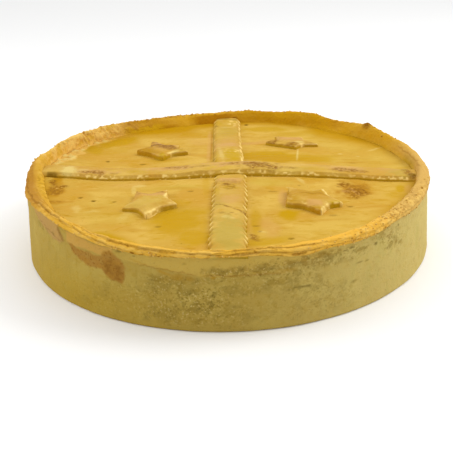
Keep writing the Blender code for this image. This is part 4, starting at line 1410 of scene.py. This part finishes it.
def star_mesh(name, settings, seed):
    centre, thickness, tips = STARS[name]
    notches = STAR_NOTCHES.get(name, (STAR_NOTCH_SHARE,) * len(tips))
    out_x, out_y, beyond = star_outline(tips, notches)
    lean_x, lean_y = STAR_LEAN.get(name, (0, 0))
    rows = []
    for lift in np.linspace(0, STAR_UPRIGHT, 6):
        rows.append((1 + STAR_FLARE * (1 - lift / STAR_UPRIGHT) ** 2, lift, 0.0))
    for turn in np.linspace(0, math.pi / 2, 9)[1:]:
        lift = STAR_UPRIGHT + (1 - STAR_UPRIGHT) * math.sin(turn)
        rows.append((1 - (1 - math.cos(turn)) * STAR_ROUNDING, lift, 0.0))
    for share in np.linspace(1 - STAR_ROUNDING, 0.02, STAR_RINGS)[1:]:
        rows.append((share, 1.0, 1 - share))
    scale, lift, inside = (np.array(column)[:, None] for column in zip(*rows))
    cut = places(out_x + centre[0], out_y + centre[1])
    wavy = 0.022 * noise(cut, 0.0045, seed + 5) + 0.012 * noise(cut, 0.0016, seed + 6)
    scale = scale * (1 + wavy)
    x, y = scale * out_x, scale * out_y
    pie_x, pie_y = x + centre[0], y + centre[1]
    flat = places(pie_x, pie_y)
    masks = marked(x, y, STAR_MARKS[name], 0.3 * rough(flat, 0.004, seed))
    crusty = np.clip(masks.pop("crusty"), 0, 1)

    wrinkle = 0.8 * rough(flat, (0.009, 0.005, 1), seed + 3) + 0.5 * masks["browned"]
    top = GAP + thickness + STAR_CROWN * inside - STAR_SLOPE * rise(scale, 0.55, 1.0)
    top += np.copysign(STAR_TIP_CURL, y) * beyond * np.minimum(scale, 1) ** 3
    top += settings.wrinkles * wrinkle + lean_x * x + lean_y * y
    z = lid_height(pie_x, pie_y) - SUNK + (top + SUNK) * lift

    side = rise(lift, 0.86, 0.62) + 0 * x
    # painted highlight: lighter towards the right, where the key light falls, and on the bright
    # flecks
    lit = rise(x + 0.4 * y, -0.004, 0.012) * (0.5 + 0.7 * noise(flat, 0.0026, seed + 4))
    lit = np.clip(lit + 0.25 * rise(noise(flat, 0.0028, seed + 7), 0.1, 0.5), 0, 1)
    lit = lit * hump(lift, 0.90, 0.13) * rise(inside, 0.15, 0.0)
    flecks = rise(noise(places(pie_x, pie_y, lift * thickness), 0.0020, seed + 8), -0.3, 0.3)
    flecks = (0.35 + 0.65 * flecks) * rise(inside, 0.30, 0.05)
    masks["browned"] *= 1 - 0.6 * side
    # side carries painted shade on the sides, foot a painted shadow line at the lid, bead the
    # painted highlights
    masks |= {
        "side": side,
        "foot": rise(lift, 0.32, 0.0) * (1 - 0.7 * crusty),
        "bead": np.maximum(lit, crusty * flecks),
    }
    return skin(name + "_glazed", places(pie_x, pie_y, z), masks)


def star_material(settings):
    pool_colour = (0.480, 0.300, 0.004)
    pastry = glazed_pastry("glazed_star_pastry", settings.star_colour, pool_colour, 0.45, 20)
    pastry.layers(("sallow", (0.590, 0.405, 0.075), 0.70))
    spotted(pastry, 0.55)
    return edge_layers(pastry, 0.95)


class PIE_OT_make_stars(bpy.types.Operator):
    """Make the four cut-out stars"""

    bl_idname = "pie.make_stars"
    bl_label = "Make Stars"

    def execute(self, context):
        settings = context.scene.pie_stars
        material = star_material(settings)
        for number, name in enumerate(STARS):
            mesh = star_mesh(name, settings, 101 + 10 * number)
            piece("glazed_" + name, mesh, material, "glazed_star", name)
        return {"FINISHED"}


# ---------------------------------------------------------------- the crumbs


class PieCrumbSettings(bpy.types.PropertyGroup):
    crumb_size: LengthProperty(
        name="Crumb Size", description="Mean radius of the crumbs on the rim", default=0.00038
    )
    crumb_colour: ColourProperty(
        name="Crumb Colour",
        description="Colour of the palest crumbs",
        default=(0.720, 0.470, 0.120),
    )


# Where crumbs cling to the rim: azimuth, spread, share across it, spread, how many.
CRUMB_PLACES = (
    (317, 11, 0.45, 0.22, 130), (338, 6, 0.2, 0.12, 25), (298, 7, 0.2, 0.12, 40),
    (171, 5, 0.25, 0.14, 60), (108, 22, 0.42, 0.07, 110), (62, 14, 0.42, 0.07, 40),
    (250, 16, 0.1, 0.06, 40), (30, 16, 0.4, 0.1, 15),
)  # fmt: skip
CRUMB_SINK = 0.35  # share of its radius that a crumb is sunk into the rim


def crumbs_mesh(settings, case_settings):
    """Every crumb is a lumpy ball, pressed into the rim where it lies."""
    grid, _, share = case_shape(case_settings)
    normals = outward(grid)
    rim_rows = np.flatnonzero(share[:, 0] > 0)
    ball = bmesh.new()
    bmesh.ops.create_icosphere(ball, subdivisions=2, radius=1.0)
    points = np.array([vertex.co for vertex in ball.verts])
    faces = np.array([[vertex.index for vertex in face.verts] for face in ball.faces])
    ball.free()

    chance = np.random.default_rng(17)
    all_points, all_faces, tones = [], [], []
    for azimuth, spread, middle, share_spread, count in CRUMB_PLACES:
        for _ in range(count):
            column = int(chance.normal(azimuth, spread) / 360 * grid.shape[1]) % grid.shape[1]
            wanted = np.clip(chance.normal(middle, share_spread), 0.03, 0.9)
            row = rim_rows[np.argmin(np.abs(share[rim_rows, column] - wanted))]
            size = settings.crumb_size * chance.lognormal(0, 0.35) * chance.uniform(0.6, 1.3, 3)
            lump = points * (1 + 0.25 * noise(points, 0.8, int(chance.integers(1000)))[:, None])
            spin = Quaternion(chance.normal(size=4)).normalized()
            turned = lump * size @ np.array(spin.to_matrix())
            centre = grid[row, column] + normals[row, column] * size.mean() * (1 - 2 * CRUMB_SINK)
            all_faces.append(faces + len(points) * len(all_points))
            all_points.append(turned + centre)
            tones.append(np.full(len(points), chance.uniform()))
    mesh = bpy.data.meshes.new("rim_crumbs")
    mesh.from_pydata(np.concatenate(all_points).tolist(), [], np.concatenate(all_faces).tolist())
    mesh.shade_smooth()
    column = mesh.attributes.new("tone", "FLOAT", "POINT")
    column.data.foreach_set("value", np.concatenate(tones))
    return mesh


def crumbs_material(settings):
    pastry = Pastry("loose_crumbs", settings.crumb_colour)
    tone = pastry.mask("tone")
    speck = pastry.grain(0.0007)
    pastry.layers(
        ("", (0.620, 0.350, 0.060), 1.0, tone, 0.30, 0.70),
        ("", (0.420, 0.200, 0.020), 0.7, tone, 0.85, 0.99),
        ("", (0.400, 0.200, 0.020), 0.6, speck, 0.55, 0.68),
    )
    pastry.bump(speck, depth=0.00025)
    return pastry.finish(pastry.ranged(tone, 0.0, 1.0, 0.75, 0.60), shine=0.05)


class PIE_OT_make_crumbs(bpy.types.Operator):
    """Make the crumbs that cling to the rim"""

    bl_idname = "pie.make_crumbs"
    bl_label = "Make Crumbs"

    def execute(self, context):
        settings = context.scene.pie_crumbs
        mesh = crumbs_mesh(settings, context.scene.pie_case)
        piece("rim_crumbs", mesh, crumbs_material(settings), "baked_case")
        return {"FINISHED"}


# ---------------------------------------------------------------- the studio


class PieStudioSettings(bpy.types.PropertyGroup):
    floor_colour: ColourProperty(
        name="Floor Colour", description="Colour of the pale floor", default=(0.93, 0.93, 0.925)
    )
    key_power: PowerProperty(
        name="Key Power",
        description="Power of the main soft light, above and to the right",
        default=5.0,
    )
    fill_power: PowerProperty(
        name="Fill Power", description="Power of the soft light at the left", default=2.6
    )
    sky: FloatProperty(
        name="Surrounding Light",
        description="Strength of the even light from all round",
        default=1.18,
    )
    front_share: ShareProperty(
        name="Front Share",
        description="How much of the surrounding light is left at the front",
        default=0.70,
    )
    low_share: ShareProperty(
        name="Low Share",
        description="How much of the surrounding light is left low down",
        default=0.45,
    )


CAMERA_PLACE = (0.0, -0.508330944, 0.225552861)
CAMERA_TILT, CAMERA_ROLL, CAMERA_PAN = 0.411353554, 0.02942, -0.00249911
FOCAL_PIXELS, PHOTO_PIXELS = 754.995, 453
SENSOR = 36.0
NEAREST = 0.01
FLOOR_SIZE = 6.0
LIGHT_WIDTH = 0.60
KEY_PLACE, KEY_AIM = (0.80, 0.10, 0.75), (0, 0, 0.04)
FILL_PLACE, FILL_AIM = (-0.90, 0.05, 0.45), (0, 0, 0.03)


def add_object(name, data):
    obj = bpy.data.objects.new(name, data)
    bpy.context.scene.collection.objects.link(obj)
    return obj


def add_camera():
    camera = bpy.data.cameras.new("camera")
    camera.sensor_width = SENSOR
    camera.lens = FOCAL_PIXELS / PHOTO_PIXELS * SENSOR
    camera.clip_start = NEAREST
    obj = add_object("camera", camera)
    obj.matrix_world = (
        Matrix.Translation(CAMERA_PLACE)
        @ Matrix.Rotation(-CAMERA_PAN, 4, "Z")
        @ Matrix.Rotation(math.pi / 2 - CAMERA_TILT, 4, "X")
        @ Matrix.Rotation(-CAMERA_ROLL, 4, "Z")
    )
    bpy.context.scene.camera = obj


def add_light(name, place, aim, power):
    """A round soft light at that place, turned to its aim."""
    light = bpy.data.lights.new(name, "AREA")
    light.shape = "DISK"
    light.size = LIGHT_WIDTH
    light.energy = power
    obj = add_object(name, light)
    obj.location = place
    obj.rotation_euler = (Vector(aim) - obj.location).to_track_quat("-Z", "Y").to_euler()


def add_floor(colour):
    half = FLOOR_SIZE / 2
    mesh = bpy.data.meshes.new("floor")
    corners = [(-half, -half, 0), (half, -half, 0), (half, half, 0), (-half, half, 0)]
    mesh.from_pydata(corners, [], [(0, 1, 2, 3)])
    material = bpy.data.materials.new("pale_floor")
    material.use_nodes = True
    inputs = material.node_tree.nodes["Principled BSDF"].inputs
    inputs["Base Color"].default_value = (*colour, 1.0)
    inputs["Roughness"].default_value = 0.9
    inputs["Specular IOR Level"].default_value = 0.1
    mesh.materials.append(material)
    add_object("floor", mesh)


def add_sky(strength, front_share, low_share):
    """White light from all round, less of it from low down and from the front."""
    world = bpy.data.worlds.new("studio")
    world.use_nodes = True
    nodes, links = world.node_tree.nodes, world.node_tree.links
    split = nodes.new("ShaderNodeSeparateXYZ")
    links.new(nodes.new("ShaderNodeTexCoord").outputs["Generated"], split.inputs[0])
    product = nodes.new("ShaderNodeMath")
    product.operation = "MULTIPLY"
    fades = (("Y", -0.8, 0.4, front_share), ("Z", 0.0, 0.8, low_share))
    for slot, (axis, *span) in zip(product.inputs, fades):
        ranged = nodes.new("ShaderNodeMapRange")
        for key, value in zip(("From Min", "From Max", "To Min"), span):
            ranged.inputs[key].default_value = value
        links.new(split.outputs[axis], ranged.inputs["Value"])
        links.new(ranged.outputs["Result"], slot)
    links.new(product.outputs[0], nodes["Background"].inputs["Color"])
    nodes["Background"].inputs["Strength"].default_value = strength
    bpy.context.scene.world = world


class PIE_OT_make_studio(bpy.types.Operator):
    """Make the pale floor, the soft studio light and the camera"""

    bl_idname = "pie.make_studio"
    bl_label = "Make Studio"

    def execute(self, context):
        settings = context.scene.pie_studio
        add_floor(settings.floor_colour)
        add_sky(settings.sky, settings.front_share, settings.low_share)
        add_light("key", KEY_PLACE, KEY_AIM, settings.key_power)
        add_light("fill", FILL_PLACE, FILL_AIM, settings.fill_power)
        add_camera()
        context.scene.view_settings.view_transform = "Standard"
        context.scene.view_settings.look = "None"
        return {"FINISHED"}


# ---------------------------------------------------------------- the add-on


class VIEW3D_PT_pie(bpy.types.Panel):
    bl_label = "Chicken Pie"
    bl_space_type = "VIEW_3D"
    bl_region_type = "UI"
    bl_category = "Pie"

    def draw(self, context):
        for group, operators in STEPS:
            box = self.layout.box()
            settings = getattr(context.scene, group)
            for name in settings.__class__.__annotations__:
                box.prop(settings, name)
            for operator in operators:
                box.operator(operator)


GROUPS = {
    "pie_case": PieCaseSettings,
    "pie_lid": PieLidSettings,
    "pie_ribbons": PieRibbonSettings,
    "pie_stars": PieStarSettings,
    "pie_crumbs": PieCrumbSettings,
    "pie_studio": PieStudioSettings,
}
STEPS = (
    ("pie_case", ("pie.make_case",)),
    ("pie_lid", ("pie.make_lid",)),
    ("pie_ribbons", ("pie.make_ribbons",)),
    ("pie_stars", ("pie.make_stars",)),
    ("pie_crumbs", ("pie.make_crumbs",)),
    ("pie_studio", ("pie.make_studio",)),
)
CLASSES = (
    *GROUPS.values(),
    PIE_OT_make_case,
    PIE_OT_make_lid,
    PIE_OT_make_ribbons,
    PIE_OT_make_stars,
    PIE_OT_make_crumbs,
    PIE_OT_make_studio,
    VIEW3D_PT_pie,
)


def register():
    for cls in CLASSES:
        bpy.utils.register_class(cls)
    for name, cls in GROUPS.items():
        setattr(bpy.types.Scene, name, PointerProperty(type=cls))


def unregister():
    for name in GROUPS:
        delattr(bpy.types.Scene, name)
    for cls in reversed(CLASSES):
        bpy.utils.unregister_class(cls)


def main():
    register()
    bpy.ops.pie.make_case()
    bpy.ops.pie.make_lid()
    bpy.ops.pie.make_ribbons()
    bpy.ops.pie.make_stars()
    bpy.ops.pie.make_crumbs()
    bpy.ops.pie.make_studio()


if __name__ == "__main__":
    main()
